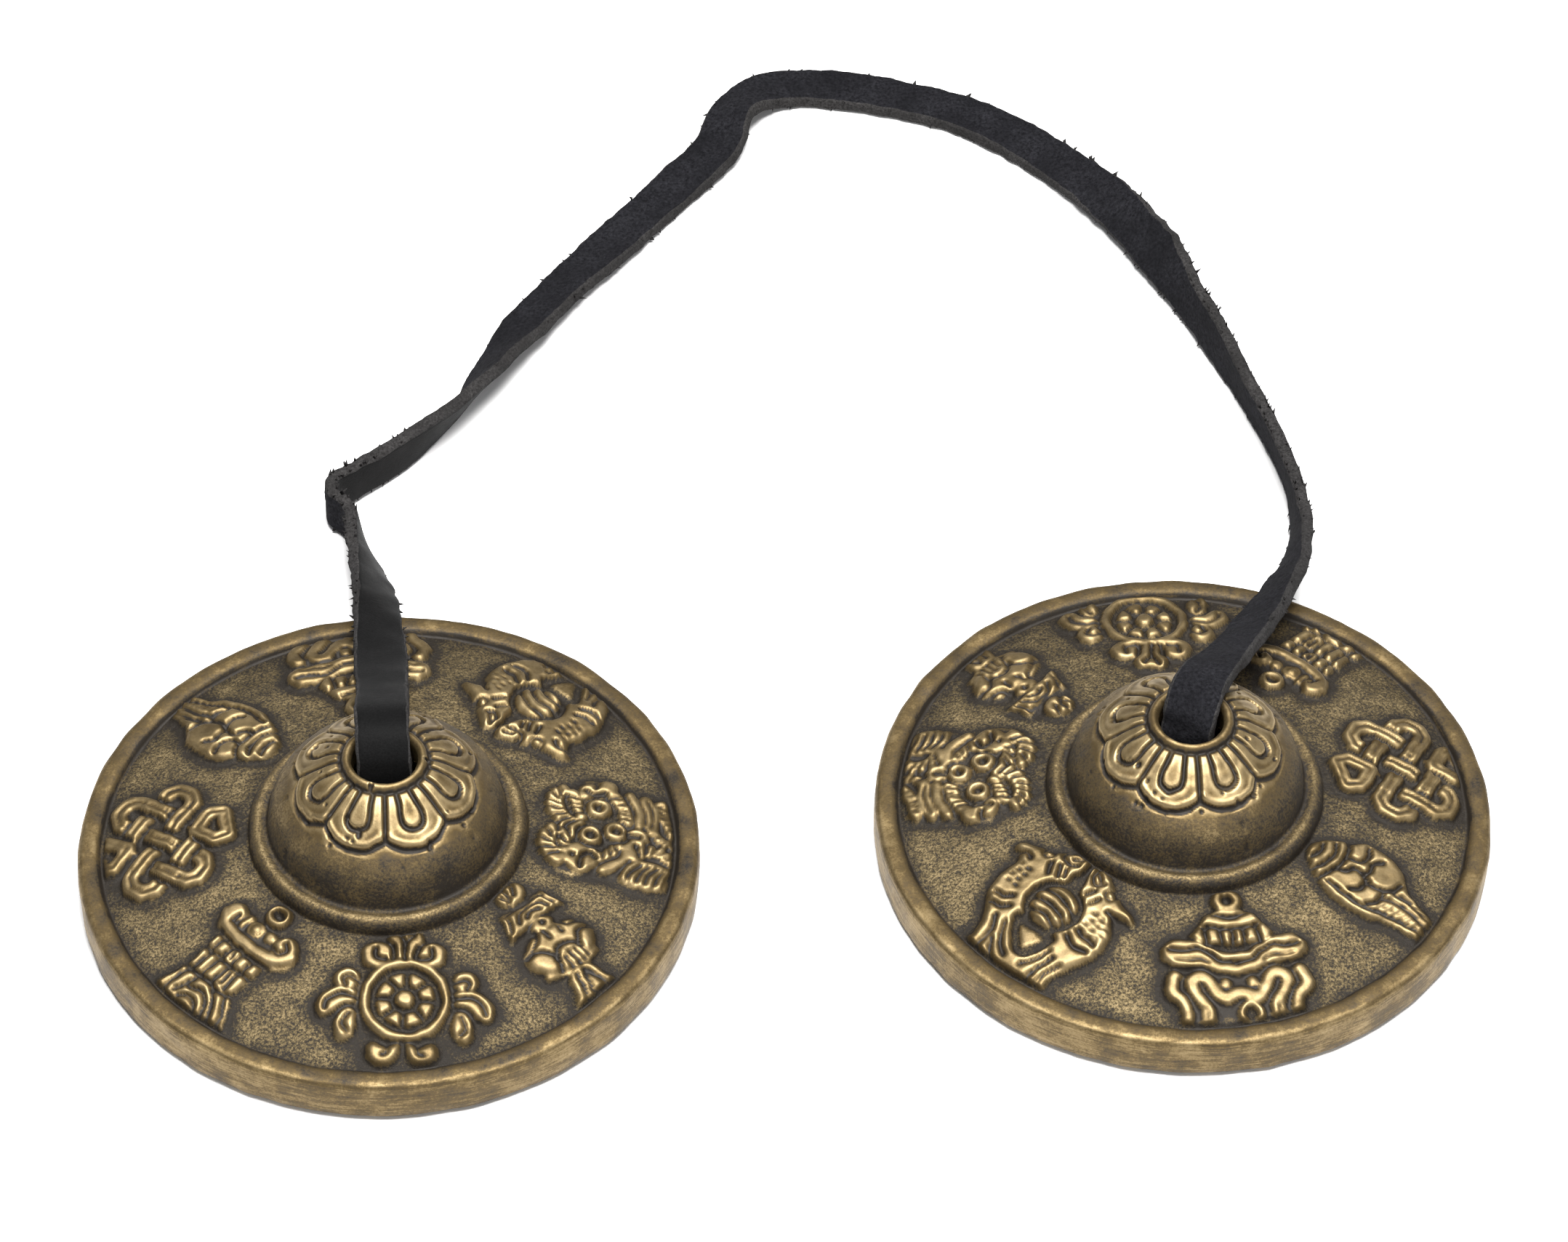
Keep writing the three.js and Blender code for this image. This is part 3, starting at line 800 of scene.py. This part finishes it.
def draw_parasol(g):
    g.lift(g.area([(-6.6, -1.2), (6.6, -1.2), (8.2, -3), (6.8, -5), (7.2, -8.4), (-7.2, -8.4),
                   (-6.8, -5), (-8.2, -3)]), 0.35, 0.6)
    g.lift(g.disc(0, 7.4, 1.75), 1.25, 0.8)
    g.sink(g.disc(0, 7.5, 0.55), 1.1, 0.3)
    cap = [(0, 6.6), (1.5, 6.4), (2.8, 5.7), (3.7, 4.6), (4.8, 3.4), (4.3, 2.3), (2.6, 1.9), (0, 1.7)]
    brim = [
        (0, 1), (1.6, 1.3), (2.8, 2), (4.8, 3), (6.8, 3.2), (8.2, 2.2), (8.3, 0.8),
        (7.2, -0.2), (5.3, -0.5), (3.6, -0.9), (2, -1.7), (0, -2),
    ]
    for outline in (cap, brim):
        whole = outline + [(-x, y) for x, y in outline[::-1]]
        g.lift(g.area(whole, False), 1.25, 0.85)
    wave = [(5.4, -2.4), (4.6, -1.7), (3.7, -1.9), (3, -3.2), (1.9, -4.5), (0, -3.9)]
    g.lift(g.line(wave + [(-x, y) for x, y in wave[-2::-1]], 1.75), 1.15, 0.7)
    for side in (-1, 1):
        s = g.flipped(side)
        inner = [(5.4, -2.4), (5, -3.8), (4, -5.2), (3.9, -6.4), (4.4, -8)]
        outer = [(7, -1.6), (7.4, -3), (6.3, -4.3), (5.9, -5.6), (6.2, -8)]
        s.lift(s.line(inner, 1.75), 1.15, 0.7)
        s.lift(s.line(outer, 2.05), 1.15, 0.7)
        s.lift(s.disc(1.5, -2.75, 0.8), 1, 0.6)
        s.carve([(6.3, -1.8), (6.6, -2.9), (5.8, -3.9), (5.3, -5.4), (5.5, -7.8)], 0.34, 0.8)
        s.carve([(4.1, -5.6), (4.2, -7.8)], 0.28, 0.5)
        s.carve([(1.35, 3.5), (1.25, 1.9)], 0.42, 0.75)
        s.carve([(2.75, 4.2), (3, 2.3)], 0.42, 0.75)
        s.carve([(7.2, 1.9), (5.6, 1.5), (4.2, 1.7), (2.9, 0.9), (1.8, 0), (0, -0.4)], 0.4, 0.75)
        s.carve([(6.6, 0.6), (5.2, 0.3), (4, 0.4), (3.2, -0.2)], 0.26, 0.4)
    g.carve([(-1.9, 5.7), (0, 5.15), (1.9, 5.7)], 0.38, 0.7)
    g.carve([(-3.3, 4.4), (-1.4, 3.9), (1.4, 3.9), (3.3, 4.4)], 0.4, 0.75)
    g.carve([(0, 3.5), (0, 1.9)], 0.42, 0.75)
    g.lift(g.area([(0.9, -4.5), (2.1, -5.4), (2.5, -6.4), (1.9, -7.7), (0.5, -8), (-0.5, -7.3),
                   (-0.7, -6.2), (-0.1, -5.2)]), 1.2, 0.8)
    g.sink(g.disc(0.9, -6.4, 0.75), 1.05, 0.3)


def draw_conch(g):
    g.lift(g.area([
        (0.2, 4.6), (1.2, 6.7), (2.2, 8.1), (3.6, 8.6), (5, 8), (6.2, 6.9), (7, 5.6), (8.3, 4.6),
        (9, 3), (9.1, 1), (8.8, -0.9), (7.8, -2.2), (7, -3.4), (6.8, -5.4), (6.2, -8.6),
        (3.4, -8.6), (2.8, -6.2), (2, -4), (0.8, -2.3), (0, 0), (-0.2, 2.6),
    ]), 1.3, 1.1)
    g.carve_each(
        0.42, 0.8,
        [(2.2, 7.2), (3.4, 7), (4.6, 7.5)],
        [(1.2, 6), (2.6, 5.6), (4.4, 5.7), (5.6, 6.5)],
        [(0.6, 4.9), (2.2, 4.5), (4, 4.4), (5.6, 4.7), (6.7, 5.5)],
        [(1.1, 3.9), (1, 2), (1.2, 0.2), (2, -2), (3, -4.2), (3.9, -6.4), (4, -8.2)],
        [(3, 4.2), (3.6, 3.2), (4.6, 2.8), (4.7, 1.6)],
        [(5.2, 4.3), (5.5, 3.2), (6.8, 2.9), (8, 3.5)],
        [(4.7, 1.6), (5.6, 1.5), (6.6, 1.9), (7.6, 1.2)],
        [(2, 1.5), (3, 0.8), (4.3, 0.9)],
        [(4.7, 1.6), (4.3, 0.2), (4.7, -1), (5.8, -1.8), (7.2, -1.9)],
        [(2.2, -1), (3.2, -1.6), (4.3, -1.3)],
        [(4.1, -1.8), (4.8, -3.2), (5.1, -5), (5, -8.2)],
        [(5.5, -2.2), (6, -3.8), (6, -8.2)],
    )
    for k in range(7):
        g.carve([(2.5 + 0.3 * k, -2.2 - 0.8 * k), (3.7 + 0.2 * k, -2.7 - 0.74 * k)], 0.28, 0.5)


WEAVE_PITCH = 3.5
WEAVE_REACH = 6.9
WEAVE_BAND = 2.1


def draw_endless_knot(g):
    """Three bands each way, woven; four U turns and two corner loops join them into one line."""
    p, far, half, cut = WEAVE_PITCH, WEAVE_REACH, WEAVE_BAND / 2, 1
    turns, loops = [], []
    for s in (-1, 1):
        turns += [
            [(-s * p, s * p), (-s * p, s * (far - cut)), (-s * (p - cut), s * far), (-s * cut, s * far),
             (0, s * (far - cut)), (0, s * p)],
            [(-s * p, 0), (-s * (far - cut), 0), (-s * far, s * cut), (-s * far, s * (p - cut)),
             (-s * (far - cut), s * p), (-s * p, s * p)],
        ]
        corner = [(2.7, 2.7), (2.7, 5.5), (4, 6.4), (6.4, 4), (5.5, 2.7)]
        loops.append([(s * x, s * y) for x, y in corner])
    bands = [[(k * p, -p), (k * p, p)] for k in (-1, 0, 1)]
    bands += [[(-p, k * p), (p, k * p)] for k in (-1, 0, 1)]
    for points in bands + turns:
        g.lift(g.line(points, WEAVE_BAND, False), 1.15, 0.6)
    for points in bands + turns:
        g.carve(points, 0.2, 0.45, False)
    for i in (-1, 0, 1):
        for j in (-1, 0, 1):
            if i == j != 0:
                continue
            over = g.turned(i * p, j * p, 90 if (i + j) % 2 == 0 else 0)
            near = np.maximum(np.abs(over.x) - half - 0.2, np.abs(over.y) - half - 0.3)
            over.lift(np.where(near < 0, np.abs(over.x) - half, 1), 1.3, 0.6)
            for side in (-1, 1):
                edge = side * (half + 0.15)
                over.carve([(edge, -half), (edge, half)], 0.34, 1, False)
            over.carve([(0, -half - 0.3), (0, half + 0.3)], 0.2, 0.45, False)
    for s, points in zip((-1, 1), loops):
        g.clear(g.disc(s * 4.3, s * 4.3, 2.9))
        around = g.line(points, 0, False, closed=True)
        g.lift(around - half * 0.9, 1.25, 0.6)
        g.sink(around - 0.08, 0.4)


def draw_banner(g):
    g.lift(g.area([
        (-3.9, 3.2), (-3.2, 4.9), (-1.6, 5.1), (0.2, 4.9), (3.2, 5), (4.8, 5.6), (6.6, 5.2),
        (7.6, 3.9), (7, 2.2), (5.4, 1.1), (2, 0.9), (-2.4, 1.1),
    ]), 0.55, 0.6)
    g.lift(g.disc(1.6, 6.7, 1.55), 1.25, 0.8)
    g.sink(g.oval(1.6, 6.8, 0.7, 0.5), 1.1, 0.3)
    roll = [(-3.1, 3.4), (-2, 2.3), (0.2, 1.9), (3.4, 2), (5.4, 2.7), (6.6, 4.1)]
    g.lift(g.line(roll, 1.6), 1.2, 0.7)
    g.lift(g.disc(-2.3, 4, 1.4), 1.3, 0.9)
    g.lift(g.disc(5.3, 4.3, 1.65), 1.3, 0.9)
    g.carve([(4.3, 3.6), (5.2, 3.5), (5.7, 4.3), (5, 4.9)], 0.36, 0.8)
    g.carve([(-1.9, 3), (-1.6, 3.9)], 0.36, 0.7)
    g.lift(g.disc(1, 3.9, 1.15), 1.1, 0.7)
    g.sink(np.abs(g.disc(1, 3.9, 0.68)) - 0.1, 0.5)
    g.lift(g.disc(3.1, 4.2, 0.8), 1, 0.6)
    g.lift(g.line([(-0.6, 3.2), (-0.5, 4.6)], 0.8), 1, 0.5)
    g.lift(g.area([(-1.9, 1), (5.4, 1.2), (5.3, -3.2), (6.4, -5.2), (8, -7.2), (7.9, -8.6),
                   (-3.1, -8.6), (-2.4, -6.2), (-1.6, -3.6)], False), 1.1, 0.9)
    g.carve_each(
        0.42, 0.78,
        [(-2.2, 1.15), (2, 0.95), (5.6, 1.3)], [(-1.9, -0.95), (2, -1.15), (5.6, -0.8)],
        [(-1.8, -3.9), (0.4, -4.1), (2, -3.9), (3.4, -4.1), (5.4, -3.5)],
        [(-0.7, 0.8), (-0.9, -0.7)], [(0.8, 0.9), (0.7, -0.9)], [(2.4, 0.8), (2.3, -0.9)],
        [(3.9, 0.9), (3.9, -0.7)],
        [(-0.6, -1.3), (-0.7, -3.7)], [(0.8, -1.4), (0.7, -3.8)], [(2.3, -1.4), (2.2, -3.7)],
        [(3.8, -1.2), (3.9, -3.4)], [(1.4, 0.4), (1.6, -0.5)], [(3, -1.6), (3.1, -3)],
        [(-0.8, -4.2), (-1.3, -5.6), (-1.4, -8.2)],
        [(0.7, -4.6), (0.2, -5.8), (-0.4, -7)],
        [(0.9, -5.7), (2.2, -5.2), (3.6, -5.8), (4.7, -8.2)],
        [(0.4, -7.3), (1.8, -6.6), (3, -7), (3.4, -8.4)],
        [(3.1, -4.4), (4.6, -5.8), (5.8, -8.2)],
        [(4.7, -4.1), (6, -5.6), (7.2, -8)],
    )


# Each emblem's drawing, the angle of its axes, and its place on each casting: x along the rim
# and y towards the hub from a point at EMBLEM_RADIUS, and the tilt of the drawing.
EMBLEMS = [
    (draw_wheel, -90, (3.3, 0.1, 0), (2.8, -3.2, 0)),
    (draw_vase, -45, (3.0, 0.3, 0), (0.5, -1.4, 0)),
    (draw_lotus, 0, (0.0, 0.0, 0), (-4.4, 0.1, 0)),
    (draw_fish, 45, (2.2, -2.6, 0), (0.0, 0.0, 0)),
    (draw_parasol, 90, (5.0, -1.5, 5), (4.2, -0.3, 5)),
    (draw_conch, 135, (-1.3, -1.5, 0), (0.0, -0.2, 0)),
    (draw_endless_knot, 180, (1.6, -1.3, 58), (3.9, -1.1, 60)),
    (draw_banner, 225, (0.0, -0.2, 0), (2.2, -2.3, 0)),
]


def field_relief(radii, angles, casting):
    """Heights of the emblems on the sloping field, on a grid of radii by angles."""
    r, a = np.meshgrid(radii, angles, indexing="ij")
    height = np.zeros_like(r)
    for draw, axis, *places in EMBLEMS:
        x0, y0, tilt = places[casting]
        turn = math.radians(axis + AXES_TURN)
        # x runs along the rim and y towards the hub, from the emblem's own place
        x = r * np.sin(a - turn)
        y = EMBLEM_RADIUS - r * np.cos(a - turn)
        near = (np.abs(x - x0) < 13) & (np.abs(y - y0) < 13) & (np.cos(a - turn) > 0)
        spots = np.stack([x[near], y[near], np.full(near.sum(), axis + casting)], axis=1)
        x, y = (v[near] + 0.07 * waves(spots, 1.7, seed) for v, seed in ((x, 81), (y, 82)))
        patch = Relief(x, y).turned(x0, y0, tilt)
        draw(patch)
        height[near] = np.maximum(height[near], patch.height)
    return height * smooth((FIELD_OUTER - 0.15 - r) / 0.5) * smooth((r - FIELD_INNER - 0.05) / 0.4)


def rosette_relief(radii, angles):
    """Heights of the eight petals round the hole, and how sunk each place is."""
    r, a = np.meshgrid(radii, angles, indexing="ij")
    step = 2 * math.pi / PETALS
    local = (a - math.radians(PETAL_PHASE) + step / 2) % step - step / 2
    spots = np.stack([r * np.cos(a), r * np.sin(a), np.zeros_like(r)], axis=-1).reshape(-1, 3)
    wobble = 0.05 * waves(spots, 1.7, 90).reshape(r.shape)
    g = Relief(r * np.cos(local) + wobble, r * np.sin(local) + 0.6 * wobble)
    edge = g.disc(PETAL_CENTRE, 0, PETAL_RADIUS)
    g.lift(edge, ROSETTE_RISE, 0.45)
    g.height += 0.14 * bell(edge, -0.42, 0.24)  # a bead inside each petal's edge
    between = np.abs(r * np.sin(step / 2 - np.abs(local))) - 0.22
    g.sink(np.where((r > 5.0) & (r < 9.7), between, 1.0), 0.5, 0.2)
    loop = [(4.9, 0.70), (6.2, 0.95), (7.4, 1.22), (8.3, 1.05), (8.75, 0.0),
            (8.3, -1.05), (7.4, -1.22), (6.2, -0.95), (4.9, -0.70)]
    g.carve(loop, 0.42, 0.55)
    g.height -= 0.26 * bell(edge, 0.24, 0.2)  # a groove round the outside
    return g.height * smooth((r - 4.9) / 0.4)


# ---------------- castings

# Turned sections of the body as (radius, height), in mm.
HOLE_WALL = [(3.75, 16.7), (3.75, 18.4), (3.75, 19.9), (3.86, 20.25), (4.12, 20.38)]
HUB_TOP = [(4.12, 20.38), (4.5, 20.32), (4.75, 19.98), (4.95, 19.5), (5.3, 19.32), (6.2, 18.95),
           (7.5, 18.1), (9.0, 17.0), (10.2, 16.0), (11.0, 15.35)]
DOME = [(11.0, 15.35), (11.8, 14.6), (12.5, 13.6), (12.95, 12.4), (13.2, 11.3), (13.35, 10.4)]
FOOT_RING = [(13.35, 10.4), (13.45, 9.95), (13.7, 9.72), (14.05, 9.82), (14.6, 9.98), (15.1, 9.84),
             (15.5, 9.3), (15.68, 8.55), (15.8, 8.02)]
LIP = [(32.3, 4.8), (32.5, 5.05), (32.75, 5.4), (33.2, 5.56), (33.9, 5.58), (34.5, 5.5),
       (34.85, 5.28), (35.0, 4.9)]
WALL = [(35.0, 4.9), (35.05, 3.4), (35.05, 1.8), (35.0, 0.55), (34.86, 0.16), (34.5, 0.0)]
UNDERSIDE = [(34.5, 0.0), (32.0, 0.0), (29.6, 0.0), (29.0, 0.3), (27.0, 1.05), (22.0, 2.45),
             (17.0, 3.85), (14.0, 4.4), (12.4, 4.8), (11.5, 5.7), (11.0, 7.2), (10.5, 9.8),
             (9.8, 12.2), (8.6, 14.2), (6.8, 15.5), (5.0, 16.3), (3.95, 16.6), (3.75, 16.7)]


# A casting's zones in order round its section. Each has its section, the spacing of its rings,
# its columns of points, and how rubbed (0 dark patina, 1 bright metal; on the foot ring the dark
# is painted shade as well as patina) and how grainy it is before its relief is counted.
ZONES = [
    (HOLE_WALL, 0.7, 360, 0.55, 0.35),
    (HUB_TOP, 0.18, 360, 0.50, 0.12),
    (DOME, 0.42, 360, 0.34, 0.35),
    # The foot ring's low rub paints shade on both sides of its crest, with some patina in its groove.
    (FOOT_RING, 0.3, 360, 0.06, 0.55),
    (None, 0.0, FIELD_COLUMNS, 0.46, 1.0),
    (LIP, 0.32, 360, 0.35, 0.22),
    (WALL, 0.85, 360, 0.45, 0.22),
    (UNDERSIDE, 1.45, 180, 0.55, 0.35),
]
AT_HUB, AT_DOME, AT_FOOT, AT_FIELD, AT_LIP, AT_WALL, AT_UNDERSIDE = range(1, 8)


def spaced(section, step):
    """The section as points about step apart on a smooth curve, without its last one."""
    curve = catmull(section, 16)[0]
    travelled = np.concatenate([[0], np.cumsum(np.linalg.norm(np.diff(curve, axis=0), axis=1))])
    at = np.linspace(0, travelled[-1], max(2, round(travelled[-1] / step)) + 1)[:-1]
    return np.stack([np.interp(at, travelled, curve[:, k]) for k in range(2)], axis=1)


def field_section():
    radii = np.linspace(FIELD_INNER, FIELD_OUTER, FIELD_RINGS + 1)[:-1]
    share = (radii - FIELD_INNER) / (FIELD_OUTER - FIELD_INNER)
    heights = FIELD_HIGH - FIELD_FALL * share + FIELD_BULGE * np.sin(math.pi * share)
    return np.stack([radii, heights], axis=1)


def pits(radii, angles, seed, count):
    """Small casting holes scattered over a grid of radii by angles."""
    rng = np.random.default_rng(seed)
    r, a = np.meshgrid(radii, angles, indexing="ij")
    x, y = r * np.cos(a), r * np.sin(a)
    depth = np.zeros_like(r)
    for _ in range(count):
        radius, angle = rng.uniform(radii.min(), radii.max()), rng.uniform(0, 2 * math.pi)
        size = rng.uniform(0.12, 0.34)
        gap = np.hypot(x - radius * math.cos(angle), y - radius * math.sin(angle))
        depth = np.maximum(depth, smooth((size + 0.1 - gap) / 0.25) * size)
    return depth


def zone_surface(zone, radii, angles, casting, rub_and_shade, grain):
    """How raised, how rubbed (with painted shade on the foot ring) and how grainy each place of a
    zone is, on radii by angles.
    """
    shape = (len(radii), len(angles))
    raised, rub_and_shade, grain = np.zeros(shape), np.full(shape, rub_and_shade), np.full(shape, grain)
    r = radii[:, None]
    if zone == AT_HUB:
        raised = rosette_relief(radii, angles) - pits(radii, angles, 40 + casting, 26)
        raised -= pits(radii, angles, 44 + casting, 90) * smooth((r - 9.3) / 0.5)
        sunk = blurred(raised, (2.4, 2.4)) - raised
        rub_and_shade = rub_and_shade - 0.16 * smooth((r - 9.6) / 1.0) - np.clip(sunk / 0.15, -0.25, 0.75)
        rub_and_shade -= 0.45 * bell(r, 5.0, 0.28)
    elif zone == AT_DOME:
        raised = -0.6 * pits(radii, angles, 50 + casting, 22)
        rub_and_shade = rub_and_shade + raised - 0.18 * smooth((r - 12.2) / 1.2)
        grain = grain + 0.30 * smooth((r - 11.2) / 1.6)
    elif zone == AT_FOOT:
        # Only the foot ring's crest is lifted, so both its sides stay dark: painted shade, with some
        # patina in the groove next to the dome.
        rub_and_shade = rub_and_shade + 0.44 * bell(r, 14.6, 0.62)
    elif zone == AT_FIELD:
        raised = blurred(field_relief(radii, angles, casting), (0.7, 0.7))
        fine = blurred(raised, (2.2, 2.2)) - raised
        wide = blurred(raised, (5.0, 4.6)) - raised
        edges = smooth((r - FIELD_OUTER + 1.8) / 1.8)
        edges = edges + 0.9 * smooth((FIELD_INNER + 2.2 - r) / 2.2)
        rub_and_shade = rub_and_shade + 0.14 * np.clip(raised / 0.9, 0, 1) - np.clip(fine / 0.22, -0.03, 0.62)
        rub_and_shade -= np.clip(wide / 0.60, 0, 0.34) + 0.26 * edges
        grain = grain - 0.9 * smooth(raised / 0.6)
    elif zone == AT_LIP:
        rub_and_shade = rub_and_shade + 0.16 * bell(r, 34.7, 0.35) - 0.42 * bell(r, 32.3, 0.45)
    return raised, np.clip(rub_and_shade, 0, 1), grain


def make_casting(name, x, turn, casting, material):
    """A casting made of rings of points, each zone's turned section raised by its relief."""
    profiles = [spaced(zone[0], zone[1]) if zone[0] else field_section() for zone in ZONES]
    whole = np.concatenate(profiles)
    tangent = unit(np.roll(whole, -1, axis=0) - np.roll(whole, 1, axis=0))
    normals = np.stack([-tangent[:, 1], tangent[:, 0]], axis=1)
    rings, rub_and_shade_rings, grains, brushes, start = [], [], [], [], 0
    for zone, profile in enumerate(profiles):
        normal = normals[start : start + len(profile)]
        start += len(profile)
        columns, rub_and_shade, grain = ZONES[zone][2:]
        angles = np.linspace(0, 2 * math.pi, columns, endpoint=False)
        raised, rub_and_shade, grain = zone_surface(zone, profile[:, 0], angles, casting, rub_and_shade, grain)
        around = np.repeat(angles[None, :], len(profile), axis=0)
        flat, push = (
            np.stack([
                pair[:, :1] * np.cos(around), pair[:, :1] * np.sin(around),
                np.repeat(pair[:, 1:], columns, axis=1),
            ], axis=-1)
            for pair in (profile, normal)
        )
        samples = flat.reshape(-1, 3)
        turned = zone in (AT_LIP, AT_WALL)
        uneven = np.zeros(raised.shape)
        for size, seed, depth in (
            (5.0, 60, 0.060 if turned else 0.045), (1.6, 70, 0.012 if turned else 0.02),
            (0.55, 75, 0.028 * grain),
        ):
            uneven += waves(samples, size, seed + casting).reshape(raised.shape) * depth
        raised = raised + uneven * (zone != AT_UNDERSIDE)
        rings += list(flat + push * raised[..., None])
        rub_and_shade_rings += list(rub_and_shade)
        grains += list(grain)
        brushes += [np.full(columns, float(turned))] * len(profile)
    points = np.concatenate(rings)
    c, s = math.cos(math.radians(turn)), math.sin(math.radians(turn))
    points = np.stack([
        points[:, 0] * c - points[:, 1] * s + x, points[:, 0] * s + points[:, 1] * c,
        np.maximum(points[:, 2], 0.0),
    ], axis=1)
    attributes = {
        "rub_and_shade": np.concatenate(rub_and_shade_rings), "grain": np.concatenate(grains),
        "brushed": np.concatenate(brushes),
    }
    faces = ring_faces([len(ring) for ring in rings])
    return new_mesh(name, points, faces, [material], attributes=attributes)


brass = brass_material()
for name, x, turn, casting in (
    ("left_brass_cymbal", -HUB_HALF_SPACING, 0.0, 0),
    ("right_brass_cymbal", HUB_HALF_SPACING, RIGHT_TURN, 1),
):
    cymbal = make_casting(name, x, turn, casting, brass)
    node = name.replace("_brass", "")
    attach(cymbal, node)
    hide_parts(node)

# ---------------- floor and lights


FLOOR_HALF = 3.0
FLOOR_DROP = 0.0002
WORLD_STRENGTH = 0.28


def make_floor():
    mesh = bpy.data.meshes.new("floor")
    corners = [(-FLOOR_HALF, -FLOOR_HALF, 0), (FLOOR_HALF, -FLOOR_HALF, 0),
               (FLOOR_HALF, FLOOR_HALF, 0), (-FLOOR_HALF, FLOOR_HALF, 0)]
    mesh.from_pydata(corners, [], [(0, 1, 2, 3)])
    mesh.materials.append(floor_material())
    floor = placed("floor", mesh)
    floor.location.z = -FLOOR_DROP


def make_light(name, place, aim, size, power, colour):
    data = bpy.data.lights.new(name, "AREA")
    data.shape = "RECTANGLE"
    data.size, data.size_y = size
    data.energy = power
    data.color = colour
    lamp = placed(name, data)
    lamp.location = place
    lamp.rotation_mode = "QUATERNION"
    lamp.rotation_quaternion = (Vector(place) - Vector(aim)).to_track_quat("Z", "Y")


def make_world():
    world = bpy.data.worlds.new("studio")
    world.use_nodes = True
    background = world.node_tree.nodes["Background"]
    background.inputs["Color"].default_value = (0.97, 0.98, 1.0, 1)
    background.inputs["Strength"].default_value = WORLD_STRENGTH
    bpy.context.scene.world = world


make_floor()
make_world()
make_light("overhead", place=(0.05, -0.08, 1.1), aim=(0, 0.04, 0), size=(0.55, 0.55),
           power=33.0, colour=(1.0, 0.99, 0.975))
make_light("front", place=(0.42, -0.95, 0.62), aim=(0, 0.03, 0), size=(0.35, 0.3),
           power=3.2, colour=(1.0, 0.99, 0.98))
bpy.context.scene.view_settings.view_transform = "Standard"
